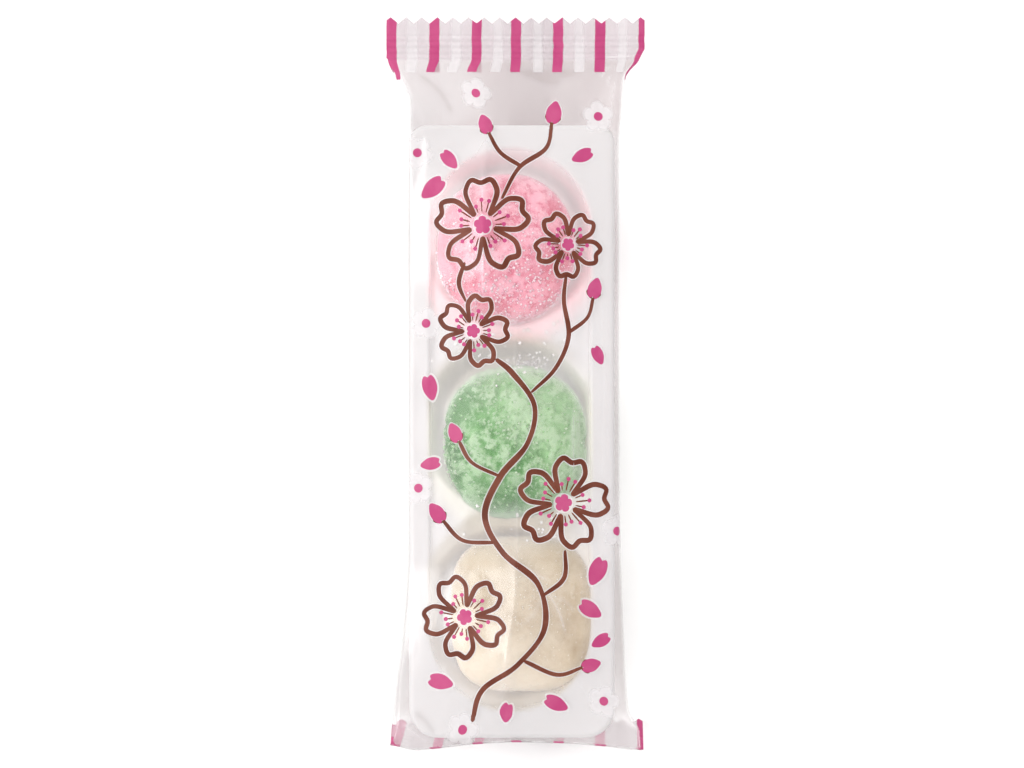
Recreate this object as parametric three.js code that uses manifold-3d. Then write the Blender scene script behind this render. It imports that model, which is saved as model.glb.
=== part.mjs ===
// A clear flow-wrapped pack of three dango, shut and lying on its back, in millimetres.
// The pack is one closed solid out to its film: a body that holds the tray and the dango, a flat
// sealed fin that stands out of its far end, and a second fin that is folded under its near end.
// X runs across the pack, Y along it towards the fin that stands out, and Z up to its front.
// The origin is under the middle of the pack, on the surface that it lies on.

import * as THREE from 'three';
import { mergeVertices } from 'three/addons/utils/BufferGeometryUtils.js';
import Module from 'manifold-3d';

// ---- Driving dimensions ----

const PACK_LENGTH = 125; // from the folded end to the points of the upper fin
const FIN_WIDTH = 44; // the film tube pressed flat
const FIN_THICKNESS = 0.5; // two films and the air between them
const FIN_HEIGHT = 5; // of the upper fin over the surface
const TOOTH_COUNT = 16; // along each cut edge
const TOOTH_DEPTH = 1.07;

const RIB_COUNT = 4; // pressed across each fin by the sealing jaws
const RIB_PITCH = 1.05;
const RIB_RELIEF = 0.12; // on each face of the fin
const UPPER_SEAL = 55.4; // Y of the inner edge of the upper seal

const BODY_EDGE = 0.5; // height of the rounded side, where front and back film meet
const SIDE_ROUNDING = 0.9; // radius of the front film where it turns over the tray's rim
const CROWN_POWER = 2.6; // how square the front film's arch is from side to side

const BASE_WIDTH = 23; // of the flat that the pack lies on
const BASE_ROUNDING = 0.12; // share of the slanted side taken up by the turn into the flat

const FOLD_AT_MIDDLE = -61.2; // Y of the folded end
const FOLD_AT_SIDES = -62.15;
const FOLD_HEIGHT = 8.25;
const FLAP_END = { y: -57.7, z: 0.65 }; // the cut edge of the fin that is folded under
const FLAP_LEFT = -21.3;
const FLAP_RIGHT = 21.8;
const FLAP_ROOT = 0.3; // how far the folded fin starts inside the body

// ---- How the body changes along Y, each as [Y, value] ----

const LEFT_SIDE = [
  [-62.5, -21.1], [-56.5, -20.4], [-44.1, -19.3], [-26.8, -18.3], [43, -18.3],
  [47.7, -18.5], [51.9, -20.3], [55.4, -21.8], [62.5, -22],
];
const RIGHT_SIDE = [
  [-62.5, 20.9], [-57.4, 20], [-55, 19.1], [-45.3, 18.6], [-20, 17.8], [40, 17.6],
  [47, 18.1], [51.8, 19.2], [55.6, 22], [62.5, 22],
];
const SIDE_HEIGHT = [ // of the line where front and back film meet
  [-62.5, 8.2], [-60, 8.9], [43.9, 8.9], [50, 6.4], [54, FIN_HEIGHT], [62.5, FIN_HEIGHT],
];
const FRONT_HEIGHT = [ // of the front film along the pack's middle, over the three dango
  [-62.5, 8.5], [-60.3, 9.7], [-52, 12.2], [-38.7, 13.9], [-24.5, 12.8], [-9.7, 13.9],
  [8, 12.8], [22.9, 13.9], [33, 12.6], [43.9, 9.5], [54, FIN_HEIGHT + 0.25],
  [62.5, FIN_HEIGHT + 0.25],
];
const BACK_HEIGHT = [ // of the back film along the pack's middle
  [-62.5, 7.8], [-60.6, 7.6], [-58.6, 6.6], [-53.4, 0.5], [-51.5, 0], [36.5, 0],
  [38.5, 0.35], [52.5, 4.4], [54, FIN_HEIGHT - 0.25], [62.5, FIN_HEIGHT - 0.25],
];

const BODY_STATIONS = [ // Y of the cross-sections between the fold and the upper seal
  -60.9, -60, -58.6, -57.2, -55.6, -53.9, -52.6, -51.5, -48, -44, -40, -36, -32, -28.5, -25,
  -21.5, -18, -14, -10, -6, -2, 1.5, 5, 8, 11.5, 15, 19, 23, 27, 31, 34, 36.5, 38.5, 41, 43.9,
  46, 48, 50, 52, 54,
];

const COLUMNS = 2 * TOOTH_COUNT; // a column of points at each tooth's point and each notch
const COLUMN_CROWDING = 0.25; // how far the body's columns move out towards its rounded sides

// ---- Smooth interpolation ----

// A curve through [Y, value] stations that never swings past them.
function smoothThrough(stations) {
  const slopes = stations.map((station, k) => {
    if (k === 0 || k === stations.length - 1) return 0;
    const before = (station[1] - stations[k - 1][1]) / (station[0] - stations[k - 1][0]);
    const after = (stations[k + 1][1] - station[1]) / (stations[k + 1][0] - station[0]);
    return before * after <= 0 ? 0 : (2 * before * after) / (before + after);
  });
  return (y) => {
    const last = stations.length - 1;
    if (y <= stations[0][0]) return stations[0][1];
    if (y >= stations[last][0]) return stations[last][1];
    const k = stations.findIndex((station) => station[0] > y) - 1;
    const span = stations[k + 1][0] - stations[k][0];
    const t = (y - stations[k][0]) / span;
    const rise = stations[k + 1][1] - stations[k][1];
    const bend = slopes[k] * span * t * (1 - t) ** 2 - slopes[k + 1] * span * t * t * (1 - t);
    return stations[k][1] + rise * t * t * (3 - 2 * t) + bend;
  };
}

const leftSide = smoothThrough(LEFT_SIDE);
const rightSide = smoothThrough(RIGHT_SIDE);
const sideHeight = smoothThrough(SIDE_HEIGHT);
const frontHeight = smoothThrough(FRONT_HEIGHT);
const backHeight = smoothThrough(BACK_HEIGHT);

// ---- The film's two faces ----

// How far a fin's face stands out at a distance from its seal's inner edge.
function ribRelief(distance) {
  const ribs = distance / RIB_PITCH;
  if (ribs < 0 || ribs > RIB_COUNT) return 0;
  return RIB_RELIEF * (1 - Math.cos(2 * Math.PI * ribs)) / 2;
}

// 1 in the body, 0 in the upper fin.
function bodyShare(y) {
  return THREE.MathUtils.smoothstep(UPPER_SEAL - y, 1, 9);
}

// Where a column from -1, the left side, to 1, the right, lies across the pack.
function acrossAt(column, y) {
  const crowding = COLUMN_CROWDING * bodyShare(y);
  const spread = column * (1 + crowding * (1 - column * column));
  return THREE.MathUtils.lerp(leftSide(y), rightSide(y), (1 + spread) / 2);
}

function frontAt(x, y) {
  const half = (rightSide(y) - leftSide(y)) / 2;
  const fromMiddle = Math.abs(x - (rightSide(y) + leftSide(y)) / 2);
  const edge = sideHeight(y) + BODY_EDGE / 2;
  const crown = 1 - Math.min(fromMiddle / half, 1) ** CROWN_POWER;
  const past = Math.max(fromMiddle - (half - SIDE_ROUNDING), 0) / SIDE_ROUNDING;
  const turn = SIDE_ROUNDING * (1 - Math.sqrt(Math.max(1 - past * past, 0))) * bodyShare(y);
  const arch = Math.max(frontHeight(y) - edge, 0) * crown;
  return Math.max(edge + arch - turn * Math.min(arch, 1), edge) + ribRelief(y - UPPER_SEAL);
}

function backAt(x, y) {
  const half = (rightSide(y) - leftSide(y)) / 2;
  const fromMiddle = Math.abs(x - (rightSide(y) + leftSide(y)) / 2);
  const edge = sideHeight(y) - BODY_EDGE / 2;
  const base = Math.min(backHeight(y), edge);
  const along = Math.max(fromMiddle - BASE_WIDTH / 2, 0) / (half - BASE_WIDTH / 2);
  const rounded = along < BASE_ROUNDING
    ? along * along / (2 * BASE_ROUNDING)
    : along - BASE_ROUNDING / 2;
  const side = rounded / (1 - BASE_ROUNDING / 2);
  return base + (edge - base) * side - ribRelief(y - UPPER_SEAL);
}

function foldAt(x) {
  const share = Math.min(Math.abs(x) / (FIN_WIDTH / 2), 1);
  return THREE.MathUtils.lerp(FOLD_AT_MIDDLE, FOLD_AT_SIDES, share * share);
}

// How far a cut edge stands back from its teeth's points at a column's number.
function toothDepth(number) {
  return number % 2 === 0 ? 0 : TOOTH_DEPTH;
}

// ---- Solids ----

// A closed sheet between two grids of points, upper(row, number) and lower(row, number).
function slab(rows, columns, upper, lower) {
  const points = [];
  for (const face of [upper, lower]) {
    for (let row = 0; row <= rows; row += 1) {
      for (let number = 0; number <= columns; number += 1) points.push(...face(row, number));
    }
  }
  const faceSize = (rows + 1) * (columns + 1);
  const at = (face, row, number) => face * faceSize + row * (columns + 1) + number;
  const triangles = [];
  const quad = (a, b, c, d) => triangles.push(a, b, c, a, c, d);
  for (let row = 0; row < rows; row += 1) {
    for (let n = 0; n < columns; n += 1) {
      quad(at(0, row, n), at(0, row, n + 1), at(0, row + 1, n + 1), at(0, row + 1, n));
      quad(at(1, row, n), at(1, row + 1, n), at(1, row + 1, n + 1), at(1, row, n + 1));
    }
    quad(at(0, row, 0), at(0, row + 1, 0), at(1, row + 1, 0), at(1, row, 0));
    quad(at(0, row + 1, columns), at(0, row, columns), at(1, row, columns), at(1, row + 1, columns));
  }
  for (let n = 0; n < columns; n += 1) {
    quad(at(0, 0, n + 1), at(0, 0, n), at(1, 0, n), at(1, 0, n + 1));
    quad(at(0, rows, n), at(0, rows, n + 1), at(1, rows, n + 1), at(1, rows, n));
  }
  const geometry = new THREE.BufferGeometry();
  geometry.setAttribute('position', new THREE.Float32BufferAttribute(points, 3));
  geometry.setIndex(triangles);
  return mergeVertices(geometry);
}

// The rows of a fin's grid, as distances from its seal's inner edge: the crest and the valley of
// each rib, then one row below the teeth and one at the cut edge.
function finRows(length) {
  const rows = [];
  for (let half = 0; half <= 2 * RIB_COUNT; half += 1) rows.push(half * RIB_PITCH / 2);
  rows.push(length - 2 * TOOTH_DEPTH, length);
  return rows;
}

// The body and the upper fin: a slab whose rows are cross-sections of the pack.
function bodyAndUpperFin() {
  const finLength = PACK_LENGTH / 2 - UPPER_SEAL;
  const rows = [null, ...BODY_STATIONS, ...finRows(finLength).map((row) => UPPER_SEAL + row)];
  const last = rows.length - 1;
  const placed = (height) => (row, number) => {
    const column = 2 * number / COLUMNS - 1;
    const guess = row === 0 ? FOLD_AT_SIDES : rows[row];
    const x = acrossAt(column, guess);
    const fold = foldAt(x);
    const y = row === 0 ? fold : rows[row] - (row === last ? toothDepth(number) : 0);
    return [x, y, height(x, y)];
  };
  return slab(last, COLUMNS, placed(frontAt), placed(backAt));
}

// The lower fin, folded under the end of the body and leaning in below the tray's rim.
function foldedFin() {
  const leanY = FLAP_END.y - FOLD_AT_SIDES;
  const leanZ = FLAP_END.z - FOLD_HEIGHT;
  const length = Math.hypot(leanY, leanZ);
  const rows = [-FLAP_ROOT, ...finRows(length)];
  const last = rows.length - 1;
  const placed = (side) => (row, number) => {
    const x = THREE.MathUtils.lerp(FLAP_LEFT, FLAP_RIGHT, number / COLUMNS);
    const reach = rows[row] - (row === last ? toothDepth(number) : 0);
    const offset = side * (FIN_THICKNESS / 2 + ribRelief(rows[row]));
    const bow = (foldAt(x) - FOLD_AT_SIDES) * (1 - Math.max(reach, 0) / length);
    const y = FOLD_AT_SIDES + bow + (leanY * reach - leanZ * offset) / length;
    const z = FOLD_HEIGHT + (leanZ * reach + leanY * offset) / length;
    return [x, y, z];
  };
  return slab(last, COLUMNS, placed(1), placed(-1));
}

// ---- Joining ----

const wasm = await Module();
wasm.setup();

function solidFrom(geometry) {
  return new wasm.Manifold(new wasm.Mesh({
    numProp: 3,
    vertProperties: new Float32Array(geometry.getAttribute('position').array),
    triVerts: new Uint32Array(geometry.getIndex().array),
  }));
}

function geometryFrom(solid) {
  const mesh = solid.getMesh();
  const geometry = new THREE.BufferGeometry();
  geometry.setAttribute('position', new THREE.BufferAttribute(mesh.vertProperties, 3));
  geometry.setIndex(new THREE.BufferAttribute(mesh.triVerts, 1));
  geometry.computeVertexNormals();
  return geometry;
}

const film = new THREE.MeshStandardMaterial({
  color: 0xe9dfe1,
  roughness: 0.28,
  metalness: 0,
});

const flowPack = new THREE.Mesh(
  geometryFrom(solidFrom(bodyAndUpperFin()).add(solidFrom(foldedFin()))),
  film,
);
flowPack.name = 'flow_pack';

const pack = new THREE.Group();
pack.add(flowPack);

export default pack;
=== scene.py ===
"""A clear flow-wrapped pack of three sugared dango in a white tray, lying on its back.

Sizes are in millimetres until a mesh is made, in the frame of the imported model: X across the pack, Y along it towards
the fin that stands out, Z up to its printed front, and the origin on the floor under its middle.
"""

import itertools
import math

import bmesh
import bpy
import numpy as np
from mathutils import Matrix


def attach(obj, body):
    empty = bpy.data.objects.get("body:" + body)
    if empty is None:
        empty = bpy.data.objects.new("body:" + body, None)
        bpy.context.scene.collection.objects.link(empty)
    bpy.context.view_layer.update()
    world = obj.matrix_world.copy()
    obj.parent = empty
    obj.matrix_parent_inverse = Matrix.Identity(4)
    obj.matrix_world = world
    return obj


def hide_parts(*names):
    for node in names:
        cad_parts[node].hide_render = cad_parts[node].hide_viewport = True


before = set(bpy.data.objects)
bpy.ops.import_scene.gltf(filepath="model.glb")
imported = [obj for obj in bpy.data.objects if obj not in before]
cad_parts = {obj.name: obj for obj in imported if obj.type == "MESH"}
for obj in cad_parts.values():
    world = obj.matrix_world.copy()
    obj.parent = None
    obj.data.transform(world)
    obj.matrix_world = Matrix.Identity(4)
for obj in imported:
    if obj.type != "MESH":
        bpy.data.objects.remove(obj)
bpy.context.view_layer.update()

MM = 0.001
SEED = 7

# ---- The film tube ----

FIN_HALF = 22.0  # half of the tube pressed flat
FIN_Z = 5.0
FILM_GAP = 0.05  # from a fin's middle to each of its films
CUT_EDGE = 62.5
TOOTH_PITCH = 8.0 / 3.0
TOOTH_DEPTH = 1.07
TOOTH_FADE = 2.4  # how far below the cut edge the rows still follow the teeth
SEAL_TOP = 59.6
SEAL_BOTTOM = 55.4
CORNER_TOP, CORNER_CUT = 57.0, 0.9  # where the seal starts to narrow at its right end, and by how much
RIB_PITCH = 1.05
RIB_HEIGHT = 0.09
FRONT_COLUMNS = 132  # cells across the front; the back has as many
TUBE_COLUMNS = 2 * FRONT_COLUMNS
FOLD_MIDDLE = -61.1
FLAP_LEFT, FLAP_RIGHT = -21.35, 21.75  # at the fold
FLAP_END_LEFT, FLAP_END_RIGHT = -20.1, 21.75  # at the cut edge
FLAP_END = (-57.3, 0.75)  # Y and Z of the folded fin's cut edge
FLAP_ROOT_Z = 8.0
BASE_Z = 0.12

# How the body changes along Y, each as (Y, value).
LEFT_SIDE = [(-62.5, -21.3), (-56.5, -20.9), (-51.5, -20.4), (-44.1, -19.35), (-26.8, -18.3), (43, -18.3),
             (47.7, -18.5), (51.9, -20.3), (55.4, -21.8), (58, -22), (62.5, -22)]
RIGHT_SIDE = [(-62.5, 21.4), (-58.3, 21.1), (-57, 20.2), (-55.5, 19.3), (-45.3, 18.6), (-20, 17.8), (40, 17.7),
              (47.6, 18.3), (52.2, 18.75), (53.2, 19.3), (55.4, 21.1), (62.5, 22)]
SIDE_Z = [(-62.5, 7.9), (-60, 7.3), (-52, 6.9), (43.9, 6.9), (50, 5.9), (55.4, 5), (62.5, 5)]
SHOULDER_Z = [(-62.5, 8.2), (-61.1, 8.35), (-60.2, 9.12), (43.9, 9.12), (49, 7.3), (55.4, 5.05), (62.5, 5.05)]
LEFT_TURN = [(-62.5, 0.3), (-57, 1.2), (-50, 0.6), (-40, 0.25), (43.9, 0.25), (50, 0.5), (55.4, 0.02), (62.5, 0.02)]
RIGHT_TURN = [(-62.5, 0.3), (-57, 1.4), (-50, 1.2), (-40, 0.9), (43.9, 0.85), (50, 0.8), (55.4, 0.02), (62.5, 0.02)]
BACK_Z = [(-62.5, 7.8), (-60.6, 7.6), (-58.6, 6.4), (-53.6, 0.6), (-51.5, BASE_Z), (36.5, BASE_Z),
          (38.5, 0.4), (52.5, 4.4), (55.4, 4.95), (62.5, 4.95)]
FOLD_Y = [(-21.4, -61.65), (-17.0, -62.45), (-13.5, -62.2), (-7.5, -61.5), (0, -61.1), (7.5, -61.25),
          (14.4, -61.75), (21.8, -62.45)]
BASE_LEFT, BASE_RIGHT = -12.6, 10.7

# ---- The tray ----

TRAY_LEFT, TRAY_RIGHT = -18.1, 16.85
TRAY_NEAR, TRAY_FAR = -60.3, 43.9
TRAY_RADIUS_FAR, TRAY_RADIUS_NEAR = 3.0, 5.0
RIM_Z = 9.0
RECESS_X, RECESS_HALF = -0.95, 13.95
RECESS_FAR, RECESS_NEAR = 26.35, -41.65  # Y of its round ends' centres
RECESS_Z = 8.0
WELL_RADIUS = 15.1
WELL_Y = (24.5, -7.3, -39.1)
WELL_Z = 0.75
WALL_RUN = 3.6  # across a well's wall
FAR_SIDE = (-0.35, 0.93)  # the side of a well that stands in shade
SHADED = {"pink": 0.0, "green": 1.0, "cream": 1.3}  # how deep in shade it is
SIDE_STEEPER = 1.5  # how much steeper the walls are along the recess's straight sides
TRAY_SHEET = 0.3
LIP_RUN, LIP_DROP = 0.7, 0.55  # how the rim's outer edge turns down
RECESS_RUN = 1.3  # across the step into the recess
WELL_SET_IN = 0.3  # from the recess's straight sides to a well's wall

# ---- The dango: middle, half sizes, and how square each is from above and from the side ----

DANGO = {
    "pink": {"middle": (-1.67, 22.9, 6.8), "half": (11.9, 13.0, 5.65), "plan": 2.1, "side": 2.6},
    "green": {"middle": (-0.1, -10.1, 6.65), "half": (12.3, 13.1, 5.5), "plan": 2.3, "side": 2.5},
    "cream": {"middle": (0.95, -39.2, 6.8), "half": (12.15, 13.35, 5.65), "plan": 3.0, "side": 2.8},
}


# ---------------------------------------------------------------- small maths


def through(stations):
    """A curve through (place, value) stations that never swings past them."""
    places, values = np.array(stations, float).T
    steps, rises = np.diff(places), np.diff(values)
    slopes = np.zeros(len(places))
    before, after = rises[:-1] / steps[:-1], rises[1:] / steps[1:]
    same = before * after > 0
    slopes[1:-1][same] = (2 * before * after)[same] / (before + after)[same]

    def curve(place):
        place = np.clip(place, places[0], places[-1])
        k = np.clip(np.searchsorted(places, place, side="right") - 1, 0, len(steps) - 1)
        t = (place - places[k]) / steps[k]
        bend = steps[k] * t * (1 - t) * (slopes[k] * (1 - t) - slopes[k + 1] * t)
        return values[k] + rises[k] * t * t * (3 - 2 * t) + bend

    return curve


def smooth_step(low, high, value):
    """0 below low, 1 above high and an even curve between. With low above high it falls instead."""
    t = np.clip((value - low) / (high - low), 0, 1)
    return t * t * (3 - 2 * t)


LATTICE = 24  # cells along each side of the block of random numbers that lumps() repeats


def lumps(points, size, seed):
    """Smooth unevenness from -1 to 1 at points, with bumps about size apart."""
    lattice = np.random.default_rng(seed).uniform(-1, 1, (LATTICE, LATTICE, LATTICE))
    places = np.asarray(points, float) / size + 10 * LATTICE
    cell = np.floor(places).astype(int)
    t = places - cell
    t = t * t * (3 - 2 * t)
    total = np.zeros(places.shape[:-1])
    for corner in itertools.product((0, 1), repeat=3):
        share = np.prod(np.where(np.array(corner), t, 1 - t), axis=-1)
        i, j, k = np.moveaxis((cell + np.array(corner)) % LATTICE, -1, 0)
        total += share * lattice[i, j, k]
    return total


def rounded_path(points, spacing):
    """Evenly spaced places along a smooth curve through points."""
    points = np.array(points, float)
    ends = [2 * points[0] - points[1], *points, 2 * points[-1] - points[-2]]
    t = np.linspace(0, 1, 24, endpoint=False)[:, None]
    dense = []
    for a, b, c, d in zip(ends, ends[1:], ends[2:], ends[3:]):
        square, cube = (2 * a - 5 * b + 4 * c - d) * t**2, (3 * b - a - 3 * c + d) * t**3
        dense.append(0.5 * (2 * b + (c - a) * t + square + cube))
    dense = np.vstack([*dense, points[-1:]])
    length = np.linalg.norm(np.diff(dense, axis=0), axis=1).sum()
    return spaced(dense, max(int(round(length / spacing)), 2))


def spaced(line, count):
    """count + 1 evenly spaced points along a line of points. Values after the first two are carried along."""
    run = np.concatenate([[0], np.cumsum(np.linalg.norm(np.diff(line[:, :2], axis=0), axis=1))])
    places = np.linspace(0, run[-1], count + 1)
    return np.stack([np.interp(places, run, line[:, k]) for k in range(line.shape[1])], axis=1)


# ---------------------------------------------------------------- meshes


def mesh_piece(name, points, faces, material, marks=None):
    """A smooth mesh that rides on the pack. points are in millimetres; marks are numbers held at its points."""
    mesh = bpy.data.meshes.new(name)
    faces = np.asarray(faces, np.int32)
    mesh.vertices.add(len(points))
    mesh.vertices.foreach_set("co", (np.asarray(points) * MM).astype(np.float32).ravel())
    mesh.loops.add(faces.size)
    mesh.loops.foreach_set("vertex_index", faces.ravel())
    mesh.polygons.add(len(faces))
    mesh.polygons.foreach_set("loop_start", np.arange(0, faces.size, faces.shape[1], dtype=np.int32))
    mesh.update(calc_edges=True)
    mesh.validate()
    mesh.polygons.foreach_set("use_smooth", np.ones(len(mesh.polygons), bool))
    for mark, values in (marks or {}).items():
        held = mesh.attributes.new(mark, "FLOAT", "POINT")
        held.data.foreach_set("value", np.asarray(values, np.float32))
    mesh.materials.append(material)
    piece = bpy.data.objects.new(name, mesh)
    bpy.context.scene.collection.objects.link(piece)
    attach(piece, "root")
    return piece


def grid_faces(rows, columns, closed=False):
    """Quads of a grid of rows x columns points, facing up where columns run to the right and rows go down."""
    across = columns if closed else columns - 1
    row, column = np.meshgrid(np.arange(rows - 1), np.arange(across), indexing="ij")
    right = (column + 1) % columns
    a, b = row * columns + column, row * columns + right
    c, d = (row + 1) * columns + right, (row + 1) * columns + column
    return np.stack([a, d, c, b], axis=-1).reshape(-1, 4)


def tube_normals(points):
    """Outward unit normals at the points of a closed tube, rows x columns x 3."""
    across = np.roll(points, -1, axis=1) - np.roll(points, 1, axis=1)
    normals = np.cross(np.gradient(points, axis=0), across)
    return normals / np.maximum(np.linalg.norm(normals, axis=2, keepdims=True), 1e-9)


# ---------------------------------------------------------------- tray


def tray_inset(x, y):
    """How far a place is inside the tray's outline."""
    radius = np.where(y < 0, TRAY_RADIUS_NEAR, TRAY_RADIUS_FAR)
    out_x = np.abs(x - (TRAY_LEFT + TRAY_RIGHT) / 2) - ((TRAY_RIGHT - TRAY_LEFT) / 2 - radius)
    out_y = np.abs(y - (TRAY_NEAR + TRAY_FAR) / 2) - ((TRAY_FAR - TRAY_NEAR) / 2 - radius)
    corner = np.hypot(np.maximum(out_x, 0), np.maximum(out_y, 0))
    return radius - corner - np.minimum(np.maximum(out_x, out_y), 0)


def recess_inset(x, y):
    """How far a place is inside the long recess that joins the wells."""
    beyond = y - np.clip(y, RECESS_NEAR, RECESS_FAR)
    return RECESS_HALF - np.hypot(x - RECESS_X, beyond)


def well_inset(x, y):
    """How far a place is inside the nearest well."""
    off = np.min([np.hypot(x - RECESS_X, y - well) for well in WELL_Y], axis=0)
    return np.minimum(WELL_RADIUS - off, (recess_inset(x, y) - WELL_SET_IN) * SIDE_STEEPER)


def tray_height(x, y):
    """The top of the tray's sheet."""
    lip = LIP_DROP * (1 - np.clip(tray_inset(x, y) / LIP_RUN, 0, 1)) ** 2
    recess = (RIM_Z - RECESS_Z) * smooth_step(0, RECESS_RUN, recess_inset(x, y))
    well = (RECESS_Z - WELL_Z) * smooth_step(0, WALL_RUN, well_inset(x, y))
    return RIM_Z - lip - recess - well


TRAY_ROWS, TRAY_CORNER_ROWS, TRAY_COLUMNS = 280, 12, 101
SHEET_WARP, WARP_SIZE = 0.05, 9
MARK_ROOM = 3.5  # how much larger than a dango the ellipse is that its marks on the tray are measured by
DUST_AND_BOUNCE_FADE = (0.86, 1.12)  # where sugar dust and painted bounce light end, as a share of that ellipse
DUST_AND_BOUNCE_LOW, DUST_AND_BOUNCE_RISE = 0.35, (2.5, 6)  # how little dust and painted bounce light lies low down, and between which heights it grows
SHADE_FADE = (1.04, 1.2)
SHADE_SIDE = (0.45, 0.9)  # how far towards the shaded side shade sets in
FOLD_SIDE, FOLD_SHADE, FOLD_SHADE_FROM = (0.3, -0.9), 0.8, (0.55, 0.78)  # the same beside the cream dango's near end


def build_tray(material):
    """The thermoformed sheet: a rim, a recess and three wells, pressed from one grid."""
    turn = np.sin(np.linspace(0, math.pi / 2, TRAY_CORNER_ROWS))
    near = TRAY_NEAR + TRAY_RADIUS_NEAR * (1 - turn[::-1])
    far = TRAY_FAR - TRAY_RADIUS_FAR * (1 - turn)
    middle = np.linspace(near[-1], far[0], TRAY_ROWS)
    y = np.concatenate([far[::-1], middle[::-1][1:-1], near[::-1]])
    radius = np.where(y < 0, TRAY_RADIUS_NEAR, TRAY_RADIUS_FAR)
    past = np.maximum(np.abs(y - (TRAY_NEAR + TRAY_FAR) / 2) - ((TRAY_FAR - TRAY_NEAR) / 2 - radius), 0)
    pulled_in = radius - np.sqrt(np.maximum(radius**2 - past**2, 0))
    left, right = TRAY_LEFT + pulled_in[:, None], TRAY_RIGHT - pulled_in[:, None]
    x = left + (right - left) * np.linspace(0, 1, TRAY_COLUMNS)[None, :]
    y = np.repeat(y[:, None], x.shape[1], axis=1)
    points = np.stack([x, y, tray_height(x, y)], axis=2)
    points[..., 2] += SHEET_WARP * lumps(points, WARP_SIZE, SEED + 1) * smooth_step(0.5, 3, tray_inset(x, y))
    flat = points.reshape(-1, 3)
    # Marks: sugar dust and painted bounce light near each dango, and painted shade on each well's far side and beside
    # the cream dango's near end.
    marks = {"shaded": np.zeros(len(flat))}
    high_up = DUST_AND_BOUNCE_LOW + (1 - DUST_AND_BOUNCE_LOW) * smooth_step(*DUST_AND_BOUNCE_RISE, flat[:, 2])
    inside = smooth_step(-0.6, 0.6, recess_inset(flat[:, 0], flat[:, 1]))
    for name, dango in DANGO.items():
        off = (flat - dango["middle"]) / (np.array(dango["half"]) + MARK_ROOM)
        reach = np.hypot(off[:, 0], off[:, 1])
        marks["near_" + name] = (1 - smooth_step(*DUST_AND_BOUNCE_FADE, reach)) * inside * high_up
        around = (1 - smooth_step(*SHADE_FADE, reach)) * inside
        aside = FAR_SIDE[0] * off[:, 0] + FAR_SIDE[1] * off[:, 1]
        marks["shaded"] += SHADED[name] * smooth_step(*SHADE_SIDE, aside) * around
    towards_fold = FOLD_SIDE[0] * off[:, 0] + FOLD_SIDE[1] * off[:, 1]
    marks["shaded"] += FOLD_SHADE * smooth_step(*FOLD_SHADE_FROM, towards_fold) * around
    tray = mesh_piece("tray", flat, grid_faces(*x.shape), material, marks)
    sheet = tray.modifiers.new("sheet", "SOLIDIFY")
    sheet.thickness = TRAY_SHEET * MM
    sheet.offset = -1


# ---------------------------------------------------------------- dango


def dango_reach(dango, directions):
    """How far each direction from a dango's middle runs to its surface."""
    ahead = np.abs(directions) / dango["half"]
    plan = (ahead[:, 0] ** dango["plan"] + ahead[:, 1] ** dango["plan"]) ** (1 / dango["plan"])
    return (plan ** dango["side"] + ahead[:, 2] ** dango["side"]) ** (-1 / dango["side"])


def dango_top(dango, x, y):
    """The height of a dango's upper side, or 0 beside it."""
    (middle_x, middle_y, middle_z), (half_x, half_y, half_z) = dango["middle"], dango["half"]
    across, along = np.abs(x - middle_x) / half_x, np.abs(y - middle_y) / half_y
    plan = (across ** dango["plan"] + along ** dango["plan"]) ** (1 / dango["plan"])
    rise = np.maximum(1 - np.minimum(plan, 1) ** dango["side"], 0) ** (1 / dango["side"])
    return np.where(plan < 1, middle_z + half_z * rise, 0)


def ball(divisions):
    """Directions and triangles of a ball made from a divided icosahedron."""
    shape = bmesh.new()
    bmesh.ops.create_icosphere(shape, subdivisions=divisions, radius=1)
    directions = np.array([v.co for v in shape.verts])
    faces = np.array([[v.index for v in f.verts] for f in shape.faces])
    shape.free()
    return directions / np.linalg.norm(directions, axis=1, keepdims=True), faces


HEAP_SIZE, CREVICE_SIZE, CRUMB_SIZE = 3.6, 2.1, 0.9
HEAPS, CREVICES, CRUMBS, CAKED = 1.1, 0.7, 0.8, 0.25  # how much each adds or takes away, and what lies everywhere
CREVICE_NARROW = 2.4


def clumps(off_middle):
    """Where sugar has caked together on a dango, from -1 in its crevices to 1."""
    heaps = lumps(off_middle, HEAP_SIZE, SEED + 7)
    crevices = 1 - CREVICE_NARROW * np.abs(lumps(off_middle, CREVICE_SIZE, SEED + 6))
    crumbs = lumps(off_middle, CRUMB_SIZE, SEED + 8)
    return np.clip(HEAPS * heaps - CREVICES * crevices + CRUMBS * crumbs + CAKED, -1, 1)


BALL_DIVISIONS = 7
SWELL_SIZE, GRIT_SIZE, GRIT = 6, 0.6, 0.4  # over what length a dango swells, its crust's grit, and the grit's share
PRESSED_FROM, PRESSED_SMOOTH = (0.55, 0.9), 0.7  # how high or low a dango is pressed smooth, and how smooth
MOST_PROUD, SUNK = 0.25, 0.12  # how far a bump may stand out, and how far the whole surface is drawn in
SQUEEZES, SQUEEZE = 14, 0.985
TRAY_ROOM = 0.04
SIDE_SHADE_FROM = (0.45, 0.95)  # where the painted shade on a dango's sides sets in, as shares of its half sizes
LIT_FROM, LIT_LESS = (0.0, 0.8), 0.75  # where its lit far side sets in, and how much less of the painted shade lies there


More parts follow.
